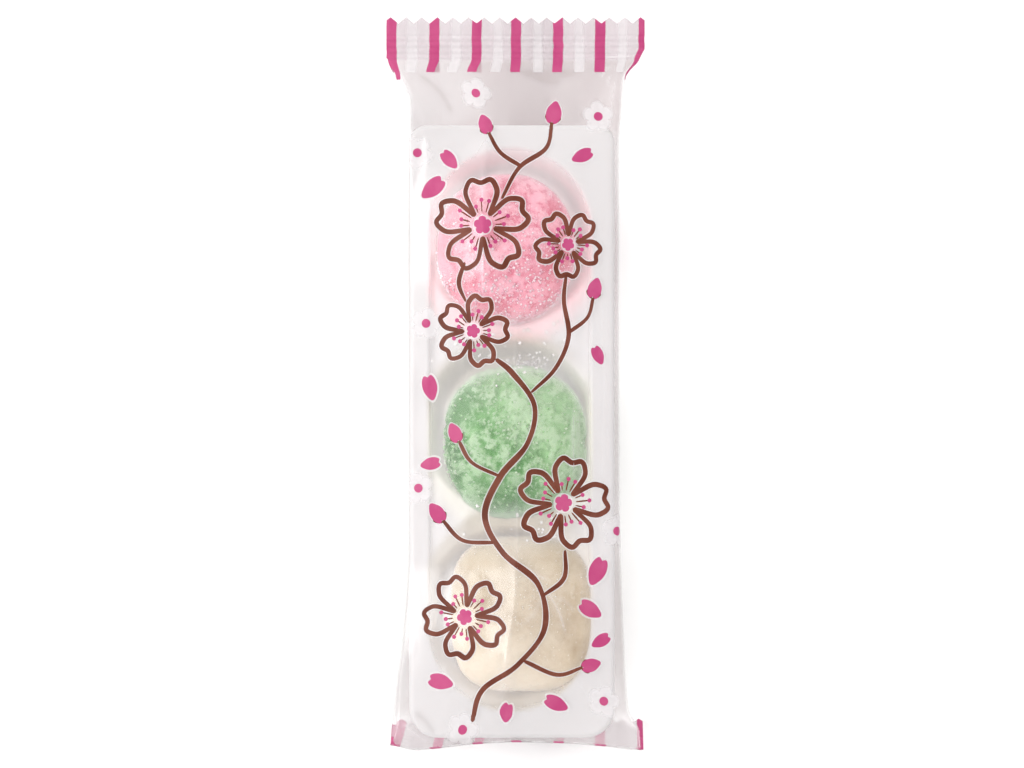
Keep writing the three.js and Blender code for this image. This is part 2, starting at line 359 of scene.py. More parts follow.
def build_dango(name, material, swell, crust):
    """A soft rice ball. swell and crust are how uneven it is over about 6 mm and about 1 mm."""
    dango = DANGO[name]
    directions, faces = ball(BALL_DIVISIONS)
    reach = dango_reach(dango, directions)
    points = directions * reach[:, None]
    pressed = smooth_step(*PRESSED_FROM, np.abs(points[:, 2]) / dango["half"][2])
    uneven = swell * lumps(points, SWELL_SIZE, SEED + len(name)) * (1 - PRESSED_SMOOTH * pressed)
    uneven += crust * clumps(points) + GRIT * crust * lumps(points, GRIT_SIZE, SEED + 3)
    points = directions * (reach + np.minimum(uneven, MOST_PROUD) - SUNK)[:, None]
    for _ in range(SQUEEZES):  # drawn in where it would reach through the tray
        x, y, z = (points + dango["middle"]).T
        points[z < tray_height(x, y) + TRAY_ROOM] *= SQUEEZE
    off_x, off_y = (points[:, :2] / dango["half"][:2]).T
    lit = smooth_step(*LIT_FROM, off_y)
    # rim: painted shade on the dango's sides, with less of it on the lit far side.
    marks = {"clump": 0.5 + 0.5 * clumps(points),
             "rim": smooth_step(*SIDE_SHADE_FROM, np.hypot(off_x, off_y)) * (1 - LIT_LESS * lit)}
    mesh_piece("dango_" + name, points + dango["middle"], faces, material, marks)


# ---------------------------------------------------------------- film

left_side, right_side = through(LEFT_SIDE), through(RIGHT_SIDE)
side_z, shoulder_z, back_z = through(SIDE_Z), through(SHOULDER_Z), through(BACK_Z)
left_turn, right_turn = through(LEFT_TURN), through(RIGHT_TURN)
fold_y = through(FOLD_Y)

SHEET_STEP = 0.5  # along the pack, in the grid that the taut front is worked out on
SHEET_COLUMNS = 97
SUGAR_ROOM = 0.32  # between a dango's crust and the film
RIM_ROOM, RIM_REACH = 0.08, 0.4  # between the tray's rim and the film, and how far the rim reaches into the recess
PULL_ALONG = 2.2  # how much tighter the film is along the pack than across it
SWEEPS, STRIDE = 700, 1.85  # how often each place is pulled towards its neighbours' mean, and how far beyond it
ARCH_SAMPLES = 240  # across the front, before its columns are spaced out evenly


def front_span(y):
    """Where the front's arch starts and ends across the pack."""
    return left_side(y) + left_turn(y), right_side(y) - right_turn(y)


def carried_height(x, y):
    """The top of whatever lies under the front film."""
    tops = [dango_top(dango, x, y) + SUGAR_ROOM for dango in DANGO.values()]
    rim = np.where((tray_inset(x, y) > 0) & (recess_inset(x, y) < RIM_REACH), RIM_Z + RIM_ROOM, 0)
    return np.max([*tops, rim], axis=0)


# Creases of the front film and the upper fin: line, height, half width and how white the film is along it, worn white
# that is also a painted highlight, wholly so along the fin's seal lines and the right shoulder.
CREASES = [
    ([(0.0, 14.5), (-0.1, 4), (0.1, -10), (0.2, -24), (0.1, -37), (-1.3, -45.5), (-2.1, -56)], 0.08, 0.45, 0.25),
    ([(9.9, -3.6), (9.75, -9), (9.95, -16.4)], 0.16, 0.32, 0.9),
    ([(10.75, -4.6), (10.6, -10), (10.7, -15.8)], -0.12, 0.3, 0.2),
    ([(0.9, -30.9), (2.4, -31.5), (3.8, -32.6), (6.4, -33.6)], 0.1, 0.35, 0.9),
    ([(4.3, -33.2), (5.6, -35.6), (7.4, -38.8), (8.6, -43.0)], 0.12, 0.35, 1.0),
    ([(5.2, -35.6), (8.4, -36.9), (10.2, -39.0)], 0.08, 0.35, 0.5),
    ([(0.6, -41.5), (3.4, -38.6), (4.6, -35.2)], 0.07, 0.35, 0.5),
    ([(-21.2, 55.2), (-17.6, 49.2), (-15.4, 43.9), (-14.9, 36)], 0.34, 0.8, 0.3),
    ([(-17.6, 53.8), (-12.8, 49.6), (-10.2, 44.6)], -0.26, 0.9, 0.0),
    ([(-7.2, 54.6), (-6.2, 50.5), (-7.4, 45.0)], 0.16, 1.0, 0.0),
    ([(20.9, 54.9), (17.9, 52.1), (15.9, 48.2), (15.2, 42)], 0.1, 0.6, 0.4),
    ([(19.0, 53.2), (17.4, 51.0), (16.9, 46.6)], -0.2, 0.9, 0.0),
    ([(3.0, 47.9), (7.6, 49.6), (12.8, 51.4)], 0.24, 1.4, 0.0),
    ([(-0.4, 53.3), (3.4, 52.7), (7.4, 52.6), (12.2, 53.6)], -0.3, 1.2, 0.0),
    ([(3.4, 52.5), (6.0, 51.2), (8.0, 51.6)], -0.12, 1.2, 0.0),
    ([(-15.2, 38), (-14.6, 22), (-15.1, 6), (-14.7, -12), (-15.2, -30)], 0.12, 0.6, 0.2),
    ([(15.0, 32), (14.6, 16), (15.2, 2), (14.9, -14), (15.3, -30), (15.0, -46)], 0.13, 0.5, 0.4),
    ([(-19.6, -57.5), (-16.9, -59.6), (-14.6, -61.4)], 0.4, 0.8, 0.8),
    ([(-17.6, -55.6), (-15.3, -57.4), (-13.4, -60.2)], -0.25, 0.8, 0.0),
    ([(18.6, -55.5), (17.0, -58.2), (16.4, -60.8)], 0.35, 0.8, 0.4),
    ([(-12.5, -47), (-10.8, -52.6), (-12.2, -58)], 0.1, 0.8, 0.2),
    ([(9.5, -49), (12.6, -53.2), (15.6, -55.0)], 0.12, 0.7, 0.3),
    ([(-15.5, 59.1), (-6, 59.0), (4, 58.9), (11, 59.1)], 0.07, 0.3, 0.7),
    ([(-3.5, 57.7), (5, 57.8), (13, 57.5), (19, 57.8)], 0.06, 0.3, 0.5),
    ([(12.6, 55.4), (16.5, 55.7), (20.9, 55.9)], 0.1, 0.35, 1.2),
    ([(18.1, 54.0), (17.3, 52.2), (16.7, 50.0), (16.4, 46.8), (16.2, 43.6)], 0.12, 0.4, 1.2),
    ([(16.6, 54.2), (15.0, 53.2), (14.6, 51.6)], 0.12, 0.5, 1.1),
    ([(16.5, 52.9), (15.7, 51.8), (16.0, 50.5)], 0.12, 0.5, 1.0),
    ([(-20.5, 57.0), (-15, 56.8), (-9.5, 57.1)], -0.06, 0.4, 0.3),
    ([(-18.5, 61.6), (-16.5, 59.8), (-17.2, 57.2)], 0.1, 0.5, 0.4),
    ([(6.2, 61.8), (8.6, 60.4), (12.4, 60.0)], 0.08, 0.4, 0.4),
]
WEAR_AND_HIGHLIGHT_HALF = 0.2  # half width of the white line along a crease, worn white and painted highlight
CREASE_SPACING = 1.4
VALLEY_DEPTH = 0.22  # the depth of a valley at which its painted shade is darkest


def off_line(line, x, y):
    """How far places are from a line, and how far along it they are from 0 to 1."""
    off, along = np.full(x.shape, 1e9), np.zeros(x.shape)
    for k, (a, b) in enumerate(zip(line, line[1:])):
        run = b - a
        t = np.clip(((x - a[0]) * run[0] + (y - a[1]) * run[1]) / (run @ run), 0, 1)
        gap = np.hypot(x - a[0] - t * run[0], y - a[1] - t * run[1])
        along = np.where(gap < off, (k + t) / (len(line) - 1), along)
        off = np.minimum(gap, off)
    return off, along


def creased(x, y):
    """How far creases lift the film, how white it is along them (worn white and painted highlight), and how deep in a
    valley each place is, which paints shade on the film.
    """
    lift, wear_and_highlight, valley_shade = np.zeros_like(x), np.zeros_like(x), np.zeros_like(x)
    for line, height, half_width, white in CREASES:
        line = rounded_path(line, CREASE_SPACING)
        low, high = line.min(0) - 5 * half_width, line.max(0) + 5 * half_width
        near = (x > low[0]) & (x < high[0]) & (y > low[1]) & (y < high[1])
        off, along = off_line(line, x[near], y[near])
        fade = np.clip(np.minimum(along, 1 - along) * 5, 0, 1)
        raised = height * fade * np.exp(-off / half_width)
        lift[near] += raised
        wear_and_highlight[near] += white * fade * np.exp(-off / WEAR_AND_HIGHLIGHT_HALF)
        valley_shade[near] += np.maximum(-raised, 0) / VALLEY_DEPTH
    return lift, wear_and_highlight, np.minimum(valley_shade, 1)


# The ridge that the front film is pulled over, where it was once folded flat: X and Z by Y.
RIDGE_X = [(-58.5, -2.1), (-45.5, -1.3), (-36, 0.1), (-10, 0.0), (11.5, -0.2), (16.5, -5.2), (30, -5.4), (47, -5.0),
           (55, -5.4)]
RIDGE_Z = [(-60, 9.4), (-56, 10.6), (-51.5, 12.7), (-46, 13.7), (-31, 13.7), (-23, 12.2), (-16, 12.2), (-4, 12.3),
           (3, 12.0), (10, 12.0), (17, 13.4), (30, 13.5), (36, 12.7), (41, 11.2), (46, 9.1), (50, 7.6), (55, 5.2)]
RIDGE_SLOPE, RIDGE_HALF = 0.3, 0.6


def taut_front():
    """The front film's heights, pulled tight over what it carries, and the Y of each of their rows."""
    y = np.arange(FOLD_MIDDLE, SEAL_BOTTOM + SHEET_STEP / 2, SHEET_STEP)
    y[-1] = SEAL_BOTTOM
    start, end = front_span(y)
    x = start[:, None] + (end - start)[:, None] * np.linspace(0, 1, SHEET_COLUMNS)
    at = np.repeat(y[:, None], SHEET_COLUMNS, axis=1)
    held = np.zeros(x.shape, bool)
    held[[0, -1]] = held[:, [0, -1]] = True
    edge = np.repeat(shoulder_z(y)[:, None], SHEET_COLUMNS, axis=1)
    off_ridge = np.abs(x - through(RIDGE_X)(at))
    ridge = np.where(off_ridge < RIDGE_HALF, through(RIDGE_Z)(at) - RIDGE_SLOPE * off_ridge, 0)
    floor = np.where(held, edge, np.maximum(carried_height(x, at), ridge))
    height = np.maximum(floor, edge)
    weight = (PULL_ALONG * ((end - start) / (SHEET_COLUMNS - 1) / SHEET_STEP)[:, None] ** 2)[1:-1]
    odd = np.add.outer(np.arange(len(y)), np.arange(SHEET_COLUMNS)) % 2 == 1
    for _ in range(SWEEPS):
        for turn in (odd, ~odd):
            across, along = height[1:-1, :-2] + height[1:-1, 2:], height[:-2, 1:-1] + height[2:, 1:-1]
            mean = height.copy()
            mean[1:-1, 1:-1] = (across + weight * along) / (2 + 2 * weight)
            moved = np.maximum(height + STRIDE * (mean - height), floor)
            height = np.where(turn & ~held, moved, height)
    return y, height


sheet_y, sheet_height = taut_front()


def sheet_at(y, share):
    """The taut sheet's height at each Y and each share across."""
    row = np.clip(np.interp(y, sheet_y, np.arange(len(sheet_y))), 0, len(sheet_y) - 1.001)[:, None]
    column = np.clip(share * (SHEET_COLUMNS - 1), 0, SHEET_COLUMNS - 1.001)[None, :]
    r, c = row.astype(int), column.astype(int)
    s, t = row - r, column - c
    near = sheet_height[r, c] * (1 - t) + sheet_height[r, c + 1] * t
    return near * (1 - s) + (sheet_height[r + 1, c] * (1 - t) + sheet_height[r + 1, c + 1] * t) * s


def bend(start, corner, end, count):
    """Points of a curve that leaves start towards corner and reaches end."""
    t = np.linspace(0, 1, count)[:, None]
    start, corner, end = (np.array(point, float) for point in (start, corner, end))
    return start * (1 - t) ** 2 + 2 * corner * t * (1 - t) + end * t * t


BOW_END = -54.5  # Y up to which rows follow the fold's own line


def end_bow(y):
    """How far a row near the folded end follows the fold's own line."""
    return 1 - smooth_step(FOLD_MIDDLE, BOW_END, y)


SLACK, SLACK_SIZE = 0.14, 5.5  # how unevenly the film lies, and over what length
SHOULDER_SLACK, SHOULDER_FROM = 0.3, (44, 48)  # how much more so towards the upper fin
FINE_SLACK, FINE_SIZE = 0.05, 2.2
STRETCHED = 0.55  # how much longer its unevenness is along the pack than across it
FILM_ROOM = 0.03
RESTING_UPTO, OFF_FROM = (0.02, 0.22), (0.5, 3.0)  # heights over which it stops resting and comes to stand off
HELD_SIDES, HELD_SEAL, HELD_FOLD = 0.05, 1.5, 1.2  # how far in it is held: a share across, and from seal and fold
HELD_RESTING, HELD_CREASE = 0.85, 0.75  # how much less uneven it lies where it rests, and creases where it is held


def front_arch(y):
    """The front film over the body at each Y: X, Z and the marks of build_film(), as rows x samples x 6."""
    share = np.linspace(0, 1, ARCH_SAMPLES)
    start, end = (value[:, None] for value in front_span(y))
    x = start + (end - start) * share
    along = y[:, None] + end_bow(y)[:, None] * (fold_y(x) - FOLD_MIDDLE)
    under = carried_height(x, along)
    taut = sheet_at(y, share)
    resting = 1 - smooth_step(*RESTING_UPTO, taut - under)
    inner = smooth_step(0, HELD_SIDES, share) * smooth_step(0, HELD_SIDES, 1 - share)
    ends = smooth_step(0, HELD_SEAL, SEAL_BOTTOM - y) * smooth_step(0, HELD_FOLD, y - FOLD_MIDDLE)
    loose = inner * ends[:, None] * (1 - HELD_RESTING * resting)
    places = np.stack([x, along * STRETCHED, 0 * x], axis=-1)
    lift, wear_and_highlight, valley_shade = creased(x, along)
    slack = SLACK + SHOULDER_SLACK * smooth_step(*SHOULDER_FROM, along)
    uneven = slack * lumps(places, SLACK_SIZE, SEED + 11) + FINE_SLACK * lumps(places, FINE_SIZE, SEED + 12)
    z = np.maximum(taut + loose * uneven + lift * (1 - HELD_CREASE * (1 - loose)), under + FILM_ROOM)
    off = smooth_step(*OFF_FROM, z - under) * (tray_inset(x, along) > 0.5)
    return np.stack([x, z, resting, off, wear_and_highlight * inner, valley_shade * inner], axis=-1)


TURN_SAMPLES, SIDE_SAMPLES, BASE_SAMPLES = 10, 24, 30
PUFF_DEPTH, PUFF_OUT, KNEE = 0.35, 3, 0.25  # how far the back's slanting sides are blown out, and how low they turn


def section(y, arch):
    """The tube's closed section at one Y, from the left side over the front: X, Z and marks for each column."""
    low, shoulder, base = side_z(y), shoulder_z(y), back_z(y)
    left, right = left_side(y), right_side(y)
    base_left, base_right = max(BASE_LEFT, left + 0.5), min(BASE_RIGHT, right - 0.5)
    angle = np.linspace(0, math.pi / 2, TURN_SAMPLES)[1:]
    puff = PUFF_OUT * PUFF_DEPTH * min(max(low - base, 0), 1)

    def turn(start, side):
        return np.stack([start + (side - start) * np.sin(angle), low + (shoulder - low) * np.cos(angle)], axis=1)

    def slant(side, foot, out):
        return bend((side, low), ((side + foot) / 2 + out, base + (low - base) * KNEE), (foot, base), SIDE_SAMPLES)

    flat = np.stack([np.linspace(base_right, base_left, BASE_SAMPLES), np.full(BASE_SAMPLES, float(base))], axis=1)
    back = np.vstack([slant(right, base_right, puff), flat[1:-1], slant(left, base_left, -puff)[::-1]])
    plain = np.zeros((len(angle), len(FILM_MARKS)))
    front = np.vstack([np.hstack([turn(arch[0, 0], left)[::-1], plain]), arch,
                       np.hstack([turn(arch[-1, 0], right), plain])])
    front = spaced(front, FRONT_COLUMNS)
    back = spaced(np.hstack([back, np.zeros((len(back), len(FILM_MARKS)))]), FRONT_COLUMNS)
    return np.vstack([front[:-1], back[:-1]])


FILM_MARKS = ("resting", "standing_off", "creased", "valley_shade")
COLUMNS = np.arange(TUBE_COLUMNS)
FLAT_X = np.where(COLUMNS <= FRONT_COLUMNS, COLUMNS, TUBE_COLUMNS - COLUMNS) / FRONT_COLUMNS * 2 * FIN_HALF - FIN_HALF
OUTWARD = np.where(COLUMNS <= FRONT_COLUMNS, 1.0, -1.0)  # which face of a fin a column is on
OUTWARD[[0, FRONT_COLUMNS]] = 0


def tooth_depth(x):
    """How far the cut edge stands back from its teeth's points."""
    ahead = np.mod(x / TOOTH_PITCH, 1)
    return TOOTH_DEPTH * 2 * np.minimum(ahead, 1 - ahead)


def ribs(distance):
    """How far a seal's pressed ribs lift the film, by the distance from the seal's inner edge."""
    pressed = (distance > 0) & (distance < SEAL_TOP - SEAL_BOTTOM)
    return np.where(pressed, RIB_HEIGHT * np.sin(2 * math.pi * distance / RIB_PITCH), 0)


WAVE, WAVE_LENGTH, RIPPLE, RIPPLE_LENGTH = 0.3, 7, 0.08, 2.4
WAVES_ALONG = 0.25  # how much longer they are along the pack than across it


def fin_wave(x, y, seed):
    """The slow waves of a fin."""
    places = np.stack([x, np.full_like(x, WAVES_ALONG * y), 0 * x], axis=-1)
    return WAVE * lumps(places, WAVE_LENGTH, seed) + RIPPLE * lumps(places, RIPPLE_LENGTH, seed + 1)


LEFT_OPEN = 2.5  # how much further apart the films stand above the seal
CORNER_FROM = 17.5  # X from which the seal's right end is drawn in


def upper_fin_row(distance):
    """A row of the upper fin at a distance from its cut edge: X, Y, Z and marks for each column."""
    y = CUT_EDGE - distance - tooth_depth(FLAT_X) * max(1 - distance / TOOTH_FADE, 0)
    fade = smooth_step(SEAL_BOTTOM - 0.2, SEAL_TOP, y)
    apart = FILM_GAP * (1 + LEFT_OPEN * smooth_step(SEAL_TOP, CUT_EDGE, y))
    lift, wear_and_highlight, valley_shade = creased(FLAT_X, y)
    wave = fin_wave(FLAT_X, np.full_like(y, y[FRONT_COLUMNS // 2]), SEED + 21)
    z = FIN_Z + OUTWARD * apart + ribs(y - SEAL_BOTTOM) + lift + fade * wave
    narrowed = np.clip((CORNER_TOP - y) / (CORNER_TOP - SEAL_BOTTOM), 0, 1)
    x = FLAT_X - CORNER_CUT * narrowed * smooth_step(CORNER_FROM, FIN_HALF, FLAT_X)
    front = OUTWARD > 0
    return np.stack([x, y, z, 0 * z, 0 * z, np.where(front, wear_and_highlight, 0), np.where(front, valley_shade, 0)], axis=1)


FLAP_WAVE_AT, FLAP_RIBS_FROM = 40, 0.4
FLAP_SAG, FLAP_CURL = 0.5, 0.12  # how far it hangs through, and how much of the fold's line its cut edge keeps


def folded_fin_row(reach, length):
    """A row of the fin that is folded under, at a reach down from its fold: X, Y, Z and marks for each column."""
    share = (FLAT_X + FIN_HALF) / (2 * FIN_HALF)
    down = reach - tooth_depth(FLAT_X) * max(1 - (length - reach) / TOOTH_FADE, 0)
    share_down = down / length
    left = FLAP_LEFT + (FLAP_END_LEFT - FLAP_LEFT) * down / length
    right = FLAP_RIGHT + (FLAP_END_RIGHT - FLAP_RIGHT) * down / length
    x = left + (right - left) * share
    bow = fold_y(x) - FOLD_MIDDLE
    bow = bow * (1 - share_down) + FLAP_CURL * bow * share_down
    lean_y, lean_z = FLAP_END[0] - FOLD_MIDDLE, FLAP_END[1] - FLAP_ROOT_Z
    lean = math.hypot(lean_y, lean_z)
    wave = fin_wave(FLAT_X, np.full_like(FLAT_X, FLAP_WAVE_AT), SEED + 31)
    offset = OUTWARD * FILM_GAP + ribs(down - FLAP_RIBS_FROM) + share_down * wave
    sag = FLAP_SAG * np.sin(math.pi * np.clip(share_down, 0, 1))
    y = FOLD_MIDDLE + bow + lean_y * share_down + (lean_z * offset) / lean - sag * 0.4
    z = FLAP_ROOT_Z + lean_z * share_down - (lean_y * offset) / lean
    return np.column_stack([x, y, np.maximum(z, 0.1), np.zeros((len(x), len(FILM_MARKS)))])


# Where the tube's rows lie, each as (first, last, step): from the cut edge down the upper fin, by the body's Y, and
# down the folded fin from its fold and then from its cut edge back.
TEETH_ROWS = (0, 2.5, 0.4)
FIN_ROWS = (2.6, CUT_EDGE - SEAL_BOTTOM - 0.05, 0.15)
BODY_ROWS = ((SEAL_BOTTOM, 53, -0.3), (53, -58, -0.45), (-58, FOLD_MIDDLE + 0.05, -0.28))
FLAP_ROWS, FLAP_TEETH_ROWS = (0.12, 0.17), (2.2, -0.1, -0.4)


def film_rows():
    """Every row of the tube from the upper cut edge to the folded fin's: points, their marks, and each row's Y."""
    fin = [*np.arange(*TEETH_ROWS), *np.arange(*FIN_ROWS)]
    rows = [upper_fin_row(distance) for distance in fin]
    body = np.concatenate([np.arange(*part) for part in BODY_ROWS])
    for y, arch in zip(body, front_arch(body)):
        placed = section(y, arch)
        along = y + end_bow(y) * (fold_y(placed[:, 0]) - FOLD_MIDDLE)
        rows.append(np.column_stack([placed[:, 0], along, placed[:, 1:]]))
    length = math.hypot(FLAP_END[0] - FOLD_MIDDLE, FLAP_END[1] - FLAP_ROOT_Z) + TOOTH_DEPTH / 2
    first, step = FLAP_ROWS
    flap = np.concatenate([np.arange(first, length - TOOTH_FADE, step), length - np.arange(*FLAP_TEETH_ROWS)])
    rows += [folded_fin_row(reach, length) for reach in flap]
    rows = np.array(rows)
    return rows[..., :3], rows[..., 3:], np.concatenate([CUT_EDGE - np.array(fin), body, FOLD_MIDDLE - flap])


film_points, film_marks, film_y = film_rows()
LAST_ROW = len(film_y) - 1.001  # as far as places on the film go
film_normals = tube_normals(film_points)


# Marks of the back, by the share of the way from its middle to its side and by Y: how strongly its tint lies, which
# also paints the shade on the floor under the pack.
EDGE_FROM_RIGHT, EDGE_FROM_LEFT, LOW_DOWN = 0.96, 0.9, -25  # where the tint ends, and below which Y as on the right
ASIDE, ASIDE_UPTO = (0.35, 0.6), (46, 40)
ABOVE_TRAY, ABOVE_TRAY_FROM, ABOVE_TRAY_BEYOND = 0.2, (0.1, 0.5), (43.5, 46)
LIGHTER_RIGHT, LIGHTER_LEFT, LESS_NEAR_FOLD, NEAR_FOLD = 0.25, 0.55, 0.3, (-42, -48)
AWAY_FROM_FOLD, ROUND_THE_FOLD = (-58.5, -54.5), 0.4
LEAST_RIGHT, LEAST_LEFT = 0.65, 0.45  # of the tint, just before the fold
DULLED_FROM, DULLED_UPTO = (-33.5, -29.5), (20, 14)


def build_film(material):
    """The film tube. Its marks: resting on what it carries, standing off it, creased (worn white and painted
    highlight), valley shade (painted shade in its valleys), on the back (its tint, which also paints the shade on the
    floor under the pack), sealed, and dulled by sugar that clings to its inside."""
    rows, columns = film_points.shape[:2]
    y = film_y[:, None]
    from_middle = np.abs(COLUMNS - 1.5 * FRONT_COLUMNS) / (FRONT_COLUMNS / 2)
    on_right = COLUMNS < 1.5 * FRONT_COLUMNS
    edge = 1 - smooth_step(np.where(on_right | (y < LOW_DOWN), EDGE_FROM_RIGHT, EDGE_FROM_LEFT), 1.0, from_middle)
    aside = smooth_step(*ASIDE, from_middle) * smooth_step(*ASIDE_UPTO, y)
    above_tray = ABOVE_TRAY * smooth_step(*ABOVE_TRAY_FROM, from_middle) * smooth_step(*ABOVE_TRAY_BEYOND, y)
    left_lighter = LIGHTER_LEFT - LESS_NEAR_FOLD * smooth_step(*NEAR_FOLD, y)
    lighter = np.where(on_right, LIGHTER_RIGHT * aside, left_lighter * aside + above_tray)
    back = np.where(COLUMNS > FRONT_COLUMNS, (1 - lighter) * edge, 0)
    away = np.maximum(smooth_step(*AWAY_FROM_FOLD, y), smooth_step(FOLD_MIDDLE, FOLD_MIDDLE - ROUND_THE_FOLD, y))
    least = np.where(on_right, LEAST_RIGHT, LEAST_LEFT)
    sealed = smooth_step(SEAL_BOTTOM - 0.5, SEAL_BOTTOM, film_y) + smooth_step(0, 0.6, FOLD_MIDDLE - film_y)
    dulled = smooth_step(*DULLED_FROM, film_y) * smooth_step(*DULLED_UPTO, film_y)
    marks = {name: film_marks[..., k].ravel() for k, name in enumerate(FILM_MARKS)}
    marks["back"] = ((least + (1 - least) * away) * back).ravel()
    marks["sealed"] = np.repeat(sealed, columns)
    marks["dulled"] = np.repeat(dulled, columns)
    faces = grid_faces(rows, columns, closed=True)
    film = mesh_piece("film", film_points.reshape(-1, 3), faces, material, marks)
    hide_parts("flow_pack")


# ---------------------------------------------------------------- places on the film


def film_at(column, row, proud):
    """Points on the film at fractions of its columns and rows, lifted off it."""
    column = np.mod(np.asarray(column, float), TUBE_COLUMNS)
    row = np.clip(np.asarray(row, float), 0, LAST_ROW)
    c, r = np.floor(column).astype(int), np.floor(row).astype(int)
    s, t = (column - c)[..., None], (row - r)[..., None]
    c, n = c % TUBE_COLUMNS, (c + 1) % TUBE_COLUMNS

    def mixed(grid):
        upper = grid[r, c] * (1 - s) + grid[r, n] * s
        return upper * (1 - t) + (grid[r + 1, c] * (1 - s) + grid[r + 1, n] * s) * t

    return mixed(film_points) + mixed(film_normals) * proud


def row_at(y):
    """The film's row at a Y of the body or the upper fin."""
    return np.interp(-np.asarray(y, float), -film_y, np.arange(len(film_y)))


def column_at(x, y):
    """The front's column that is seen at a place."""
    x, y = np.broadcast_arrays(np.asarray(x, float), np.asarray(y, float))
    rows = np.clip(np.round(row_at(y)).astype(int), 0, len(film_y) - 1)
    front = np.arange(FRONT_COLUMNS + 1)
    found = [np.interp(a, np.maximum.accumulate(film_points[row, front, 0]), front)
             for a, row in zip(x.ravel(), rows.ravel())]
    return np.array(found).reshape(x.shape)


def columns_per_mm(column, y):
    """How many columns a millimetre of the film takes up at a place."""
    row, c = int(round(float(row_at(y)))), int(column) % TUBE_COLUMNS
    return 1 / np.linalg.norm(film_points[row, (c + 1) % TUBE_COLUMNS] - film_points[row, c])


SEAM_COLUMNS = np.arange(201, 176, -1)  # on the back
SEAM_PROUD = (0.055, 0.095)  # how far its two sheets stand out of the film
SEAM_RIB, SEAM_RIB_COLUMNS = 0.01, 2.4
SEAM_EDGE = 0.2  # columns that its rounded edge takes up


def build_seam(material):
    """The lengthwise seal on the back: the film's two edges pressed together and laid flat."""
    column = np.concatenate([SEAM_COLUMNS, [SEAM_COLUMNS[-1] - SEAM_EDGE], SEAM_COLUMNS[::-1]])
    inner, outer = SEAM_PROUD
    pressed = SEAM_RIB * np.sin(2 * math.pi * SEAM_COLUMNS / SEAM_RIB_COLUMNS)
    proud = np.concatenate([inner + pressed, [(inner + outer) / 2], outer + pressed[::-1]])
    proud[0] = 0
    rows = np.arange(LAST_ROW + 1)
    rows[-1] = LAST_ROW
    across, down = np.meshgrid(column, rows)
    points = film_at(across, down, proud[None, :, None] + 0 * across[..., None])
    mesh_piece("back_seam", points.reshape(-1, 3), grid_faces(*across.shape), material)


# ---------------------------------------------------------------- print

PROUD = {"white": 0.02, "brown": 0.035, "magenta": 0.045}  # how far each ink stands out of the film
STROKE_SPACING = 0.28
FLOW_LENGTH = 4.5  # over which a stroke swells and thins
STROKE_TAPER, STROKE_THINNING = 1.2, 0.35  # how far from its ends a stroke thins, and by how much
STROKE_ACROSS = 5  # points
LEAST_END = 0.002  # keeps a stroke's end from closing to a point


class Ink:
    """The printed shapes of one colour, gathered into one piece."""

    def __init__(self, colour):
        self.name = "ink_" + colour
        self.proud = PROUD[colour]
        self.points, self.faces, self.full, self.count = [], [], [], 0

    def add(self, points, faces, full=1.0):
        """Another shape. full is how full its ink is at each point."""
        self.points.append(np.asarray(points).reshape(-1, 3))
        self.faces.append(np.asarray(faces) + self.count)
        self.full.append(np.broadcast_to(full, np.asarray(points).shape[:-1]).ravel())
        self.count += len(self.points[-1])

    def patch(self, x, y, outline, turn=0.0, rings=5, steps=60, back=False, soft=False):
        """A filled shape about a place seen at (x, y): outline gives its radius in millimetres by angle."""
        column = TUBE_COLUMNS - float(column_at(-x, y)) if back else float(column_at(x, y))
        density = columns_per_mm(column, y)
        angle = np.linspace(0, 2 * math.pi, steps, endpoint=False)
        reach = np.linspace(0, 1, rings + 1)[:, None] * outline(angle)[None, :]
        across, along = reach * np.cos(angle + turn), reach * np.sin(angle + turn)
        points = film_at(column + across * density, row_at(y + along), self.proud)
        full = np.linspace(2.0, 0, rings + 1)[:, None] if soft else 1.0
        self.add(points, grid_faces(rings + 1, steps, closed=True)[:, ::-1], full)

    def stroke(self, line, width, flow=0.12, seed=0):
        """A brush stroke along a line of (X, Y) places, widest in its middle, with round ends."""
        line = rounded_path(line, STROKE_SPACING)
        column = column_at(line[:, 0], line[:, 1])[:, None]
        run = np.concatenate([[0], np.cumsum(np.linalg.norm(np.diff(line, axis=0), axis=1))])
        from_end = np.minimum(run, run[-1] - run)
        places = np.stack([run, 0 * run + 3.1 * seed, 0 * run], axis=1)
        half = width / 2 * (1 + flow * lumps(places, FLOW_LENGTH, SEED + seed))
        half = half * (1 - STROKE_THINNING * np.exp(-from_end / STROKE_TAPER))
        short = 1 - np.clip(from_end / np.maximum(half, 1e-6), 0, 1)
        half = half * np.sqrt(np.clip(1 - short**2, LEAST_END, 1))
        ahead = np.gradient(line, axis=0)
        ahead /= np.maximum(np.linalg.norm(ahead, axis=1, keepdims=True), 1e-9)
        side = np.stack([ahead[:, 1], -ahead[:, 0]], axis=1)
        share = np.linspace(-1, 1, STROKE_ACROSS)[None, :]
        density = np.array([columns_per_mm(c, y) for (c,), (_, y) in zip(column, line)])[:, None]
        y = line[:, 1:] + side[:, 1:] * half[:, None] * share
        column = column + side[:, :1] * half[:, None] * share * density
        self.add(film_at(column, row_at(y), self.proud), grid_faces(*column.shape)[:, ::-1])

    def build(self, material):
        """Makes the piece of everything added."""
        full = np.concatenate(self.full)
        mesh_piece(self.name, np.vstack(self.points), np.vstack(self.faces), material, {"full": full})


white, brown, magenta = Ink("white"), Ink("brown"), Ink("magenta")


def flower_outline(radius, petals, notch):
    """A round-petalled flower's radius by angle."""
    return lambda angle: radius * (notch + (1 - notch) * np.abs(np.cos(petals * angle / 2)) ** 0.62)


def disc_outline(radius):
    """A disc's radius by angle."""
    return lambda angle: radius + 0 * angle


